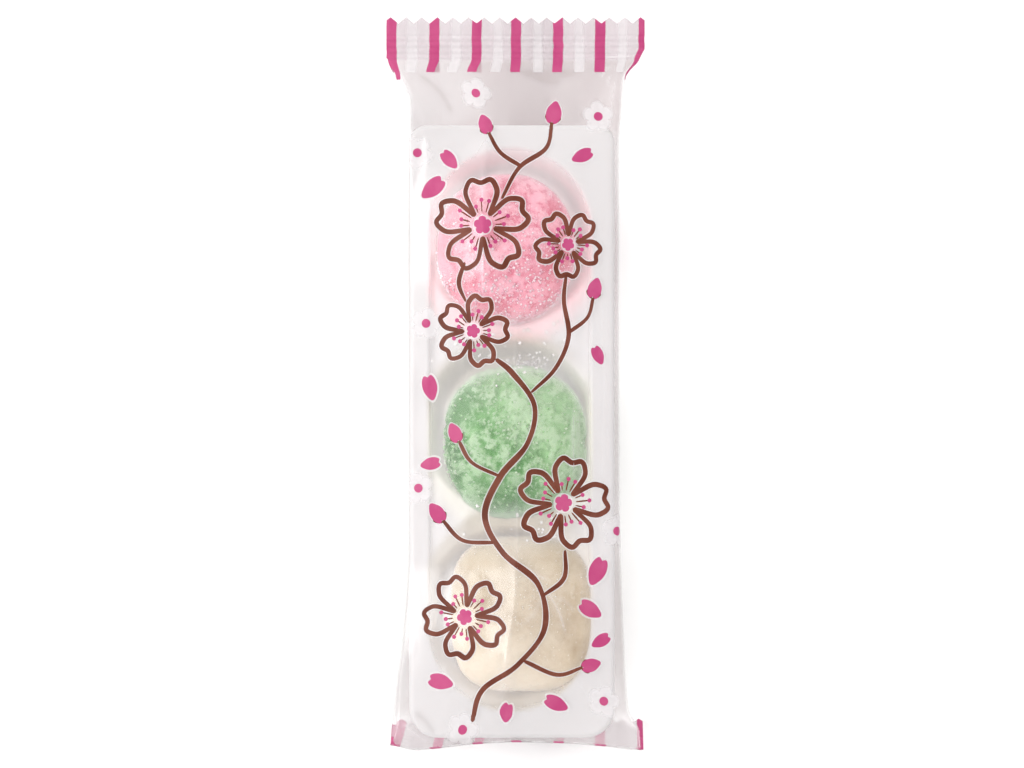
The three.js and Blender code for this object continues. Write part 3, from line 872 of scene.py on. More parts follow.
def petal_outline(length, width):
    """A fallen petal's radius by angle: pointed at one end and notched at the other."""

    def radius(angle):
        body = 1 / np.sqrt((np.cos(angle) / (length / 2)) ** 2 + (np.sin(angle) / (width / 2)) ** 2)
        notch = 1 - 0.3 * np.exp(-((np.mod(angle + math.pi, 2 * math.pi) - math.pi) / 0.22) ** 2)
        point = 1 + 0.22 * np.exp(-((np.mod(angle, 2 * math.pi) - math.pi) / 0.3) ** 2)
        return body * notch * point

    return radius


# Magenta stripes of the fins: X of the two edges at the cut, then how far each has moved where the stripe ends.
STRIPES = [(-22.0, -20.3, 1.7, 0.7), (-14.7, -13.0, -0.5, -0.75), (-7.45, -5.8, -0.75, -0.8),
           (-0.77, 0.93, -0.15, -0.2), (6.44, 8.14, -0.15, -0.2), (13.57, 15.33, -0.1, -0.1), (21.0, 22.0, -1.7, -2.1)]
WHITE_STRIPES = [(-18.9, -16.4, -0.2, -0.3), (-11.3, -9.0, -0.75, -0.6), (-4.1, -1.9, -0.5, -0.4), (2.7, 4.9, 0, 0),
                 (9.8, 12.0, -0.1, -0.1), (17.2, 19.4, -0.3, -0.5)]
STRIPE_END, OUTER_STRIPE_END = 53.1, 51.8
FOLD_START = -60.7  # where the folded fin's stripes begin on the body
LEFT_START, LEFT_START_BACK = 1.1, 2.9  # how much later the leftmost begins, on the front and on the back
COLUMNS_PER_MM = FRONT_COLUMNS / (2 * FIN_HALF)  # of the flat film
STRIPE_WOBBLE, WOBBLE_LENGTH = 0.32, 1.1
FLOWERS = [(-6.75, 49.4), (14.08, 45.4), (-16.68, 39.2), (-15.2, 10.2), (-16.5, -17.8), (17.3, -25.1), (15.0, -54.0),
           (-9.0, -58.5)]
BACK_FLOWERS = [(-10.5, 33), (6.5, 31), (-3.5, 24), (10, 17), (-10.5, 12), (7.5, 2), (-9, -10), (10.3, -20), (-4, -27),
                (9.4, -38), (-10, -45), (4, -51.5)]
FLOWER_RADIUS, FLOWER_DOT = 3.1, 0.77
BACK_TURNS = 10  # the first of the random turns that the back's flowers take


def stripe_columns(left, right):
    """Columns across a stripe between two X of the flat film, and how far across it each is from 0 to 1."""
    start, stop = (left + FIN_HALF) * COLUMNS_PER_MM, (right + FIN_HALF) * COLUMNS_PER_MM
    columns = np.unique(np.concatenate([[start, stop], np.arange(math.ceil(start), stop, 1)]))
    return columns, (columns - start) / (stop - start)


def add_stripe(ink, column, rows, back, full=1.0):
    """A stripe at the front's columns, given for each row, or on the back behind them."""
    faces = grid_faces(*column.shape)
    column = TUBE_COLUMNS - column if back else column
    points = film_at(column, rows[:, None] + 0 * column, ink.proud)
    ink.add(points, faces[:, ::-1] if back else faces, full)


def stripe(ink, left, right, end_left, end_right, row_end, back=False, soft=False):
    """A stripe down the upper fin and over the shoulder, cut by the teeth. Its edges move as they cross the
    shoulder."""
    flat, share = stripe_columns(left, right)
    rows = np.unique(np.concatenate([np.arange(0, row_end), [row_end]]))
    run = np.stack([rows * FIN_ROWS[2], 0 * rows + left, 0 * rows], axis=1)
    wobble = STRIPE_WOBBLE * lumps(run, WOBBLE_LENGTH, SEED + 41)
    column = np.clip(flat + np.outer(wobble, np.sin(math.pi * np.clip(share, 0.2, 0.8))), 0, FRONT_COLUMNS)
    kink = float(row_at(SEAL_BOTTOM))
    last = math.ceil(kink) - 1  # of the fin's rows
    at_kink = np.interp(column[last], COLUMNS[: FRONT_COLUMNS + 1], film_points[last, : FRONT_COLUMNS + 1, 0])
    for k in np.flatnonzero(rows > last):
        moved = smooth_step(kink, row_end, rows[k]) * (end_left + (end_right - end_left) * share)
        column[k] = column_at(at_kink + moved, np.interp(rows[k], np.arange(len(film_y)), film_y))
    thinner = 0.6 + 0.4 * smooth_step(0.2, 0.8, rows / row_end)
    full = np.outer(thinner, np.minimum(2.4 * np.minimum(share, 1 - share), 0.6)) if soft else 1.0
    add_stripe(ink, column, rows, back, full)


def folded_stripe(ink, left, right, begin=FOLD_START, back=False):
    """A stripe of the fin that is folded under, from Y begin just before the fold to the teeth."""
    flat, _ = stripe_columns(left, right)
    rows = np.append(np.arange(row_at(begin), LAST_ROW + 1), LAST_ROW)
    add_stripe(ink, np.broadcast_to(flat, (len(rows), len(flat))), rows, back)


def small_flower(x, y, turn, back=False):
    """A soft white flower with a magenta middle."""
    white.patch(x, y, flower_outline(FLOWER_RADIUS, 5, 0.7), turn, rings=9, steps=70, back=back, soft=True)
    magenta.patch(x, y, disc_outline(FLOWER_DOT), rings=3, steps=28, back=back)


BRUSH = 0.86
HALO = 0.34  # white that shows round a brown or magenta shape, both sides together
PETAL_HALO = HALO + 0.3
PETAL_WIDTH = 0.62  # of its length

# The branch that winds up the pack, and its side shoots, as (X, Y) places.
BRANCH = [(-7.4, -57.4), (-5.6, -52.0), (0.4, -47.6), (4.9, -41.5), (3.8, -34.0), (-2.2, -28.6), (-5.2, -22.4),
          (-2.6, -15.8), (2.0, -10.2), (3.2, -3.8), (-0.4, 1.6), (-3.4, 4.2)]
SHOOTS = [
    [(2.6, -1.6), (6.8, 2.6), (9.0, 8.0), (8.2, 14.0), (8.6, 18.6)],
    [(9.0, 8.6), (12.2, 11.2), (13.2, 14.6)],
    [(1.4, -47.0), (7.0, -49.4), (11.4, -48.2)],
    [(-3.6, -27.0), (-9.0, -26.6), (-12.4, -23.2)],
    [(-2.6, -15.8), (-7.4, -13.4), (-9.6, -9.8)],
    [(4.6, -36.0), (8.2, -33.0), (8.4, -28.2)],
    [(-8.4, 13.8), (-9.6, 17.0), (-8.6, 20.6)],
    [(-2.4, 31.2), (0.6, 36.6), (5.2, 40.0), (6.2, 44.4)],
    [(1.0, 36.8), (-2.6, 39.2), (-4.6, 42.6)],
]
BUDS = [(13.4, 15.9, 1.3, 1.05), (12.6, -47.9, 0.25, 1.0), (-13.2, -22.2, 2.2, 1.1), (-10.2, -8.6, 2.0, 1.0),
        (6.5, 45.8, 1.35, 1.15), (-5.1, 43.8, 1.95, 1.0)]
# Open blossoms: X, Y, radius and turn.
BLOSSOMS = [(-5.6, 26.8, 7.9, 0.35), (8.9, 23.6, 5.6, 0.9), (-7.2, 8.9, 6.0, 1.3), (8.1, -20.3, 7.7, 0.1),
            (-8.6, -39.6, 7.0, 0.75)]
# Fallen petals: X, Y, length and turn.
PETALS = [(-13.8, 33.4, 4.6, 0.7), (-11.4, 38.2, 3.6, 2.3), (-14.6, -0.4, 4.2, 1.8), (-14.2, -13.6, 3.4, 0.2),
          (13.9, 5.0, 3.2, 2.0), (14.0, -31.6, 4.8, 1.1), (12.4, -38.2, 4.2, 2.6), (14.7, -43.6, 3.4, 0.5),
          (-13.0, -50.6, 4.2, 2.9), (-1.6, -55.6, 3.4, 1.2), (6.6, -54.2, 4.0, 2.7), (11.6, 38.8, 3.6, 0.4)]


def towards(angle, reach):
    """A step of that reach along an angle."""
    return np.array((reach * math.cos(angle), reach * math.sin(angle)))


def blossom_petal(x, y, radius, angle):
    """The outline of one open petal, round and notched at its tip."""
    t = np.linspace(-1, 1, 25)
    swing = 0.60 * np.sign(t) * np.abs(t) ** 0.8
    reach = radius * (0.24 + 0.80 * np.cos(0.5 * math.pi * t) ** 0.55 - 0.13 * np.exp(-((t / 0.16) ** 2)))
    return np.stack([x + reach * np.cos(angle + swing), y + reach * np.sin(angle + swing)], axis=1)


STAMENS = (-0.3, 0.0, 0.3)  # the angles of a petal's stamens
STAMEN_FOOT, STAMEN_TIP, STAMEN_UNEVEN = 0.27, 0.5, 0.08  # as shares of the blossom's radius
STAMEN_WIDTH, STAMEN_DOT = 0.3, 0.36
MIDDLE = 0.2  # of a blossom, as a share of its radius
BUD_LENGTH, BUD_WIDTH, BUD_FOOT = 3.3, 2.3, 1.5  # its foot is that far behind its middle
SEPAL_LENGTH, SEPAL_WIDTH, SEPAL_LEAN, SEPAL_BOW = 1.7, 0.6, 0.75, 0.25


def edged_stroke(line, width, **brush):
    """A brown stroke with a white edge."""
    white.stroke(line, width + HALO, **brush)
    brown.stroke(line, width, **brush)


def edged_petal(x, y, length, width, halo, turn, **fineness):
    """A filled magenta petal with a white edge."""
    white.patch(x, y, petal_outline(length + halo, width + halo), turn, **fineness)
    magenta.patch(x, y, petal_outline(length, width), turn, **fineness)


def draw_blossom(x, y, radius, turn, seed):
    """An open blossom in brush line, with stamens and a magenta middle."""
    width = BRUSH * (0.72 + 0.04 * radius)
    for k in range(5):
        angle = turn + 2 * math.pi * k / 5
        edged_stroke(blossom_petal(x, y, radius, angle)[::3], width, seed=seed + k)
        for spread in STAMENS:
            foot, tip = STAMEN_FOOT * radius, (STAMEN_TIP + STAMEN_UNEVEN * math.cos(7 * spread + k)) * radius
            line = [(x, y) + towards(angle + spread, reach) for reach in (foot, (foot + tip) / 2, tip)]
            brown.stroke(line, STAMEN_WIDTH, seed=seed + k)
            magenta.patch(*line[-1], disc_outline(STAMEN_DOT), rings=2, steps=16)
    white.patch(x, y, disc_outline(MIDDLE * radius + HALO / 2), rings=4, steps=36)
    magenta.patch(x, y, flower_outline(MIDDLE * radius, 5, 0.72), turn, rings=4, steps=40)


def draw_bud(x, y, angle, size):
    """A shut bud that points along angle, with two brown sepals at its foot."""
    edged_petal(x, y, BUD_LENGTH * size, BUD_WIDTH * size, HALO, angle + math.pi, rings=5, steps=40)
    foot = (x, y) - towards(angle, BUD_FOOT * size)
    for lean in (-SEPAL_LEAN, SEPAL_LEAN):
        tip = foot + towards(angle + lean, SEPAL_LENGTH * size)
        knee = (foot + tip) / 2 + towards(angle + 2 * lean, SEPAL_BOW)
        brown.stroke([foot, knee, tip], SEPAL_WIDTH)


def build_print(materials):
    """Everything printed on the film: stripes, small flowers and the blossoming branch."""
    end = float(row_at(STRIPE_END))
    for stripe_at in STRIPES:
        left, right = stripe_at[:2]
        leftmost, outer = left == STRIPES[0][0], stripe_at in (STRIPES[0], STRIPES[-1])
        stripe(magenta, *stripe_at, float(row_at(OUTER_STRIPE_END)) if outer else end)
        stripe(magenta, left, right, 0, 0, end, back=True)
        folded_stripe(magenta, left, right, begin=FOLD_START + leftmost * LEFT_START)
        folded_stripe(magenta, left, right, begin=FOLD_START + leftmost * LEFT_START_BACK, back=True)
    for stripe_at in WHITE_STRIPES:
        stripe(white, *stripe_at, end, soft=True)
        folded_stripe(white, *stripe_at[:2])
    turns = np.random.default_rng(SEED).uniform(0, 6, 40)
    for (x, y), turn in zip(FLOWERS, turns):
        small_flower(x, y, turn)
    for (x, y), turn in zip(BACK_FLOWERS, turns[BACK_TURNS:]):
        small_flower(x, y, turn, back=True)
    for k, line in enumerate([BRANCH, *SHOOTS]):
        edged_stroke(line, BRUSH * (1.1 if k == 0 else 0.85), flow=0.2, seed=60 + k)
    for bud in BUDS:
        draw_bud(*bud)
    for k, blossom in enumerate(BLOSSOMS):
        draw_blossom(*blossom, seed=10 * k)
    for x, y, length, turn in PETALS:
        edged_petal(x, y, length, PETAL_WIDTH * length, PETAL_HALO, turn, rings=6, steps=48)
    for ink in (white, brown, magenta):
        ink.build(materials[ink.name])


# ---------------------------------------------------------------- sugar

CRYSTAL_CORNERS = np.array(list(itertools.product((-1, 1), repeat=3)), float)
CRYSTAL_FACES = np.array([[0, 1, 3, 2], [4, 6, 7, 5], [0, 4, 5, 1], [2, 3, 7, 6], [0, 2, 6, 4], [1, 5, 7, 3]])
SHORTEST, LONGEST, CHIPPED = 0.7, 1.15, 0.14  # a crystal's sides and how far its corners are off, as shares of its size


def crystals(name, places, sizes, material, rng):
    """Sugar crystals as small blocks, each turned and chipped its own way."""
    count = len(places)
    sides = rng.uniform(SHORTEST, LONGEST, (count, 1, 3))
    corners = CRYSTAL_CORNERS[None] * sides + rng.uniform(-CHIPPED, CHIPPED, (count, 8, 3))
    quarter = rng.normal(size=(count, 4))
    w, x, y, z = (quarter / np.linalg.norm(quarter, axis=1, keepdims=True)).T
    turn = np.array([[1 - 2 * (y * y + z * z), 2 * (x * y - z * w), 2 * (x * z + y * w)],
                     [2 * (x * y + z * w), 1 - 2 * (x * x + z * z), 2 * (y * z - x * w)],
                     [2 * (x * z - y * w), 2 * (y * z + x * w), 1 - 2 * (x * x + y * y)]]).transpose(2, 0, 1)
    points = np.einsum("nij,nkj->nki", turn, corners) * sizes[:, None, None] / 2 + places[:, None, :]
    faces = CRYSTAL_FACES[None] + 8 * np.arange(count)[:, None, None]
    tones = np.repeat(rng.uniform(0, 1, count), len(CRYSTAL_CORNERS))
    piece = mesh_piece(name, points.reshape(-1, 3), faces.reshape(-1, 4), material, {"tone": tones})
    piece.data.polygons.foreach_set("use_smooth", np.zeros(len(piece.data.polygons), bool))


PRESSED_IN = 0.008  # of its distance from the middle
ABOVE_WELL = 0.4  # how high above the tray the lowest grains lie


def on_dango(name, count, density, rng):
    """Places on a dango's upper crust, kept with a chance that density gives from X, Y and Z off its middle."""
    dango = DANGO[name]
    directions = rng.normal(size=(count, 3))
    directions[:, 2] = np.abs(directions[:, 2]) - 0.25
    directions /= np.linalg.norm(directions, axis=1, keepdims=True)
    points = directions * dango_reach(dango, directions)[:, None]
    kept = rng.uniform(0, 1, count) < density(points)
    places = points[kept] * (1 - PRESSED_IN) + dango["middle"]
    return places[places[:, 2] > tray_height(*places[:, :2].T) + ABOVE_WELL]


def pink_cover(places):
    """Sugar lies on the near side of the pink dango and in one heap on its right."""
    x, y, _ = places.T
    near_side = smooth_step(-1.0, -8.5, y + 1.5 * lumps(places, 3, 5))
    heap = np.exp(-((x - 8.6) ** 2 + (y + 1.0) ** 2) / 14)
    return 0.05 + 0.7 * near_side + 0.8 * heap


def green_cover(places):
    """Sugar lies where it has caked on the green dango."""
    return 0.08 + 0.8 * smooth_step(0.0, 0.8, clumps(places))


def cream_cover(places):
    """A fine dusting all over the cream dango."""
    return np.full(len(places), 0.5)


# Grains on each dango: how many are tried, where they stay, and their smallest and largest size.
GRAINS = {"pink": (3600, pink_cover, (0.16, 0.36)), "green": (3400, green_cover, (0.14, 0.34)),
          "cream": (600, cream_cover, (0.1, 0.16))}
# Grains spilt between the dango: X and Y of each heap, its spread and how many.
SPILT = [(2.4, 3.6, 1.6, 46), (-1.0, 5.0, 4.5, 22), (6.3, 8.8, 2.2, 12), (3.0, -23.6, 5.0, 24), (-3.0, 8.0, 5.0, 12)]
SPILT_FLATTER = (1, 0.45)  # how much shorter a heap is along the pack
SPILT_SIZES, SPILT_SUNK = (0.25, 0.5), 0.35
SPILT_BELOW = 12.8  # none lies higher than this


def build_sugar(materials):
    """Loose grains of sugar on each dango and between them."""
    rng = np.random.default_rng(SEED)
    for name, (tries, cover, size) in GRAINS.items():
        places = on_dango(name, tries, cover, rng)
        sizes = rng.uniform(*size, len(places))
        crystals("sugar_" + name, places, sizes, materials["sugar_" + name], rng)
    spilt = [rng.normal(0, spread, (count, 2)) * SPILT_FLATTER + (x, y) for x, y, spread, count in SPILT]
    x, y = np.vstack(spilt).T
    tops = np.max([tray_height(x, y), *[dango_top(dango, x, y) for dango in DANGO.values()]], axis=0)
    sizes = rng.uniform(*SPILT_SIZES, len(x))
    places = np.column_stack([x, y, tops + sizes * SPILT_SUNK])
    keep = tops < SPILT_BELOW
    crystals("sugar_spilt", places[keep], sizes[keep], materials["sugar_spilt"], rng)


# ---------------------------------------------------------------- materials


def linear(colour):
    """A colour given as it is seen, from 0 to 255, as the shaders take it."""
    seen = [c / 255 for c in colour]
    return (*[c / 12.92 if c <= 0.04045 else ((c + 0.055) / 1.055) ** 2.4 for c in seen], 1.0)


def waxy(weight, depth, spread):
    """Light that goes into a material and comes out again, as sockets: depth in millimetres, spread by colour."""
    return {"Subsurface Weight": weight, "Subsurface Scale": depth * MM, "Subsurface Radius": spread}


class Wiring:
    """Short calls for placing nodes and joining them."""

    def __init__(self, tree):
        self.tree = tree

    def join(self, value, socket):
        """Feeds a socket from another one, or sets it to a plain value."""
        if isinstance(value, bpy.types.NodeSocket):
            self.tree.links.new(value, socket)
        else:
            socket.default_value = value

    def node(self, kind, inputs=None, **settings):
        """A new node."""
        made = self.tree.nodes.new(kind)
        for name, value in settings.items():
            setattr(made, name, value)
        for name, value in (inputs or {}).items():
            self.join(value, made.inputs[name])
        return made

    def first(self, kind, inputs=None, **settings):
        """The first output of a new node."""
        return self.node(kind, inputs, **settings).outputs[0]

    def mark(self, name):
        """A number held at the mesh's points."""
        return self.node("ShaderNodeAttribute", attribute_name=name).outputs["Fac"]

    def places(self):
        """Where a point is in its own piece, in metres."""
        return self.node("ShaderNodeTexCoord").outputs["Object"]

    def maths(self, how, a, b=0.0, c=0.0, clamp=False):
        """A number worked out from others."""
        return self.first("ShaderNodeMath", {0: a, 1: b, 2: c}, operation=how, use_clamp=clamp)

    def vectors(self, how, a, b):
        """A number worked out from two vectors."""
        return self.node("ShaderNodeVectorMath", {0: a, 1: b}, operation=how).outputs["Value"]

    def spread(self, value, low, high, to_low=0.0, to_high=1.0):
        """Value's range from low to high, stretched smoothly to another."""
        inputs = {"Value": value, "From Min": low, "From Max": high, "To Min": to_low, "To Max": to_high}
        return self.first("ShaderNodeMapRange", inputs, interpolation_type="SMOOTHSTEP")

    def noise(self, size, detail=2.0, rough=0.5, places=None):
        """Noise with bumps about size millimetres across. size may be a socket."""
        scale = 500 / size if isinstance(size, float) else self.maths("DIVIDE", 500.0, size)
        inputs = {"Vector": places or self.places(), "Scale": scale, "Detail": detail, "Roughness": rough}
        return self.node("ShaderNodeTexNoise", inputs).outputs["Fac"]

    def blend(self, share, a, b, how="MIX"):
        """Colour a turning to colour b with share."""
        return self.node("ShaderNodeMix", {0: share, 6: a, 7: b}, data_type="RGBA", blend_type=how).outputs[2]

    def bump(self, height, strength, distance):
        """A normal tilted by a height, whose full range is distance millimetres."""
        return self.first("ShaderNodeBump", {"Height": height, "Strength": strength, "Distance": distance * MM})

    def mix(self, share, a, b):
        """Shader a turning to shader b with share."""
        return self.first("ShaderNodeMixShader", {0: share, 1: a, 2: b})

    def lets_light_by(self, shader, share):
        """The shader as the eye sees it, with a share of all other light passing straight through."""
        unseen = self.maths("SUBTRACT", 1.0, self.node("ShaderNodeLightPath").outputs["Is Camera Ray"])
        return self.mix(self.maths("MULTIPLY", unseen, share), shader, self.first("ShaderNodeBsdfTransparent"))

    def group(self, tree, **inputs):
        """The outputs of a placed node group."""
        return self.node("ShaderNodeGroup", inputs, node_tree=tree).outputs


def effect(name, inputs, outputs):
    """An empty shader node group, from its inputs as {name: default} and its outputs' names. Returns its tree, its
    wiring, and the sockets inside that give its inputs and take its outputs."""
    tree = bpy.data.node_groups.new(name, "ShaderNodeTree")
    for socket, default in inputs.items():
        kind = "NodeSocketColor" if isinstance(default, tuple) else "NodeSocketFloat"
        tree.interface.new_socket(socket, in_out="INPUT", socket_type=kind).default_value = default
    for socket in outputs:
        kind = "NodeSocketColor" if socket == "Color" else "NodeSocketFloat"
        tree.interface.new_socket(socket, in_out="OUTPUT", socket_type=kind)
    wiring = Wiring(tree)
    return tree, wiring, wiring.node("NodeGroupInput").outputs, wiring.node("NodeGroupOutput").inputs


def crinkle_effect():
    """Fine wrinkles and haze of thin film, for the film and whatever is printed on it."""
    tree, w, given, out = effect("film_crinkle", {"Size": 2.6, "Haze": 0.1}, ("Height", "Cloud"))
    stretched = w.first("ShaderNodeMapping", {"Vector": w.places(), "Scale": (1.0, 0.42, 1.0)})
    folds = w.node("ShaderNodeTexNoise", {"Vector": stretched, "Scale": w.maths("DIVIDE", 1000.0, given["Size"]),
                                          "Detail": 3.0, "Roughness": 0.55, "Distortion": 0.8}).outputs["Fac"]
    ridge = w.maths("ABSOLUTE", w.maths("SUBTRACT", folds, 0.5))
    fine = w.maths("MULTIPLY", w.noise(0.7, 2.0), 0.22)
    w.join(w.maths("ADD", w.maths("MULTIPLY", ridge, -1.6), fine), out["Height"])
    cloud = w.spread(w.noise(7.0, 3.0, 0.55, places=stretched), 0.35, 0.7)
    w.join(w.maths("MULTIPLY", cloud, given["Haze"]), out["Cloud"])
    return tree


def frost_effect():
    """Sugar ground into a surface: a speckled mask and its height."""
    tree, w, given, out = effect("sugar_frost", {"Grain": 0.5, "Cover": 0.5}, ("Mask", "Height"))
    places = w.places()
    scale = w.maths("DIVIDE", 1000.0, given["Grain"])
    cells = w.node("ShaderNodeTexVoronoi", {"Vector": places, "Scale": scale, "Randomness": 1.0})
    pick = w.first("ShaderNodeSeparateColor", {"Color": cells.outputs["Color"]})
    drift = w.maths("SUBTRACT", w.noise(3.2, 3.0, 0.6, places=places), 0.5)
    chance = w.maths("ADD", pick, w.maths("MULTIPLY", drift, 1.6))
    edge = w.maths("SUBTRACT", 1.0, given["Cover"])
    mask = w.spread(chance, edge, w.maths("ADD", edge, 0.25))
    w.join(mask, out["Mask"])
    w.join(w.maths("MULTIPLY", mask, w.maths("SUBTRACT", 1.0, cells.outputs["Distance"])), out["Height"])
    return tree


def mottle_effect():
    """Slow and fine unevenness of a colour."""
    tree, w, given, out = effect("mottle", {"Light": (1.0, 1.0, 1.0, 1.0), "Dark": (0.5, 0.5, 0.5, 1.0), "Size": 4.0},
                                 ("Color", "Mask"))
    mask = w.spread(w.noise(given["Size"], 4.0, 0.6), 0.34, 0.68)
    w.join(w.blend(mask, given["Light"], given["Dark"]), out["Color"])
    w.join(mask, out["Mask"])
    return tree


crinkle, frost, mottle = crinkle_effect(), frost_effect(), mottle_effect()


def new_material(name):
    """An empty material and the wiring of its nodes."""
    material = bpy.data.materials.new(name)
    material.use_nodes = True
    material.node_tree.nodes.clear()
    return material, Wiring(material.node_tree)


def finished(material, w, shader, lets_by=0.0):
    """The material with its shader joined on. lets_by is the share of light that it lets straight through."""
    shader = w.lets_light_by(shader, lets_by) if lets_by else shader
    w.join(shader, w.node("ShaderNodeOutputMaterial").inputs["Surface"])
    return material


def film_material():
    """Thin clear film: mostly open, with a milky haze, a tinted back that also paints the shade on the floor under the
    pack, painted shade in its valleys, worn white and painted highlights along creases, and gloss that grows towards
    grazing.
    """
    material, w = new_material("clear_film")
    back, resting, sealed, standing_off, crease_wear_and_highlight, valley_shade = (
        w.mark(name) for name in ("back", "resting", "sealed", "standing_off", "creased", "valley_shade"))
    fine = w.group(crinkle, Size=2.4, Haze=0.07)
    cloud = w.maths("DIVIDE", fine["Cloud"], 0.07)
    normal = w.bump(fine["Height"], w.spread(sealed, 0, 1, 0.22, 0.34), 0.16)
    milky = w.maths("ADD", 0.08, fine["Cloud"])
    milky = w.maths("SUBTRACT", milky, w.maths("MULTIPLY", resting, 0.04))
    # Haze grows with the painted valley shade and with the crease wear and highlights.
    for mark, amount in ((standing_off, 0.24), (crease_wear_and_highlight, 0.3), (valley_shade, 0.22), (sealed, 0.16)):
        milky = w.maths("ADD", milky, w.maths("MULTIPLY", mark, amount))
    # The back's tint, which also paints the shade on the floor seen through it.
    over_back = w.maths("MULTIPLY", back, w.spread(sealed, 0, 1, 0.6, 0.3))
    milky = w.maths("ADD", milky, over_back, clamp=True)
    body_tint = w.blend(cloud, linear((172, 155, 156)), linear((184, 168, 169)))
    seal_tint = w.blend(cloud, linear((184, 167, 173)), linear((204, 190, 195)))
    tint = w.blend(back, linear((240, 236, 237)), body_tint)
    tint = w.blend(sealed, tint, seal_tint)
    # Painted shade in the film's valleys.
    tint = w.blend(w.maths("MULTIPLY", valley_shade, 0.8), tint, linear((160, 148, 148)))
    # Worn white and painted highlights along creases.
    tint = w.blend(w.maths("MULTIPLY", crease_wear_and_highlight, 0.6, clamp=True), tint, linear((248, 244, 246)))
    body = w.first("ShaderNodeBsdfPrincipled", {"Base Color": tint, "Roughness": w.spread(back, 0.3, 1, 0.32, 0.6),
                                                "Normal": normal})
    seen = w.mix(milky, w.first("ShaderNodeBsdfTransparent"), body)
    gloss = w.first("ShaderNodeBsdfGlossy", {"Roughness": 0.18, "Normal": normal})
    rim = w.first("ShaderNodeFresnel", {"IOR": 1.42, "Normal": normal})
    shine = w.maths("MINIMUM", w.maths("MULTIPLY", rim, 2.2), 0.13)
    shine = w.maths("MULTIPLY", shine, w.spread(w.mark("dulled"), 0, 1, 1.0, 0.25))
    shine = w.maths("MULTIPLY", shine, w.spread(w.maths("MULTIPLY", back, back), 0, 1, 1.0, 0.2))
    return finished(material, w, w.mix(shine, seen, gloss), 0.85)


# Sugar dust and painted bounce light on the tray: the dango whose colour it carries, its colour, how thick it lies
# and how much of it is coarse.
DUST_AND_BOUNCE = [("pink", (250, 198, 204), 0.82, 0.62), ("green", (224, 221, 204), 0.7, 0.35),
         ("cream", (222, 210, 192), 0.6, 0.3)]


def tray_material():
    """White thermoformed plastic with sugar dust and painted bounce light near each dango, and painted shade on the
    far walls of the wells.
    """
    material, w = new_material("white_tray")
    colour = w.group(mottle, Light=linear((215, 212, 213)), Dark=linear((210, 207, 208)), Size=9.0)["Color"]
    for name, dust_and_bounce, thick, coarse in DUST_AND_BOUNCE:
        mask = w.group(frost, Grain=0.45, Cover=coarse)["Mask"]
        share = w.maths("ADD", w.maths("MULTIPLY", mask, 0.25), thick)
        amount = w.maths("MULTIPLY", w.mark("near_" + name), share, clamp=True)
        colour = w.blend(amount, colour, linear(dust_and_bounce))
    # Painted shade on the far walls of the wells and beside the cream dango's near end.
    colour = w.blend(w.mark("shaded"), colour, (0.63, 0.58, 0.47, 1.0), "MULTIPLY")
    body = w.first("ShaderNodeBsdfPrincipled", {"Base Color": colour, "Roughness": 0.42,
                                                "Normal": w.bump(w.noise(1.6, 3.0), 0.12, 0.1),
                                                **waxy(0.3, 0.6, (1.0, 0.9, 0.85))})
    return finished(material, w, body, 0.94)


# Each dango's dough, mottled from light to dark over size millimetres. caking, speckle and cover are how strongly
# sugar cakes on it, how deep its fine dark specks are and how much loose grain covers it. heaps are the clump marks
# that a heap of sugar sets in between, and ragged how rough the heap's edge is. rim is the colour of the painted shade
# on its sides. patches are places of another colour: X, Y, Z, reach, colour. shades are colours that set in along a
# direction, painting light and shade on one side: darker on the pink dango's left, painted shade on the cream one's
# top and painted light on its lower left, and paler towards the green one's upper right. Each gives its X and Y, the
# places along it between which it sets in, its share and colour.
DOUGH = {
    "pink": {
        "light": (245, 172, 190), "dark": (212, 92, 122), "size": 2.2, "rim": (0.96, 0.66, 0.72),
        "sugar": (250, 202, 213), "caking": 0.4, "speckle": 0.55, "cover": 0.25, "heaps": (0.15, 0.9), "ragged": 0.0,
        "patches": [(7.0, 21.2, 12.0, 6.5, (208, 84, 112))],
        "shades": [(-1.0, 0.0, 6.0, 13.0, 0.5, (206, 108, 132))],
    },
    "green": {
        "light": (132, 188, 118), "dark": (60, 130, 48), "size": 3.6, "rim": (0.6, 0.72, 0.58),
        "sugar": (190, 214, 180), "caking": 0.75, "speckle": 0.6, "cover": 0.2, "heaps": (0.3, 0.85), "ragged": 1.1,
        "patches": [(2.0, -6.5, 12.0, 7.5, (186, 214, 176)), (-9.8, -4.4, 10.4, 7.0, (66, 132, 54)),
                    (-1.4, -19.0, 10.6, 9.0, (66, 132, 54))],
        "shades": [(0.8, 0.6, -12.0, 2.0, 0.4, (172, 194, 158))],
    },
    "cream": {
        "light": (206, 188, 162), "dark": (180, 158, 128), "size": 2.6, "rim": (0.98, 0.93, 0.84),
        "sugar": (216, 202, 182), "caking": 0.3, "speckle": 0.3, "cover": 0.08, "heaps": (0.15, 0.9), "ragged": 0.0,
        "patches": [],
        "shades": [(-0.2, 1.0, -38.0, -27.0, 0.5, (194, 182, 160)), (-0.5, -0.85, 34.0, 43.0, 0.8, (240, 226, 206))],
    },
}


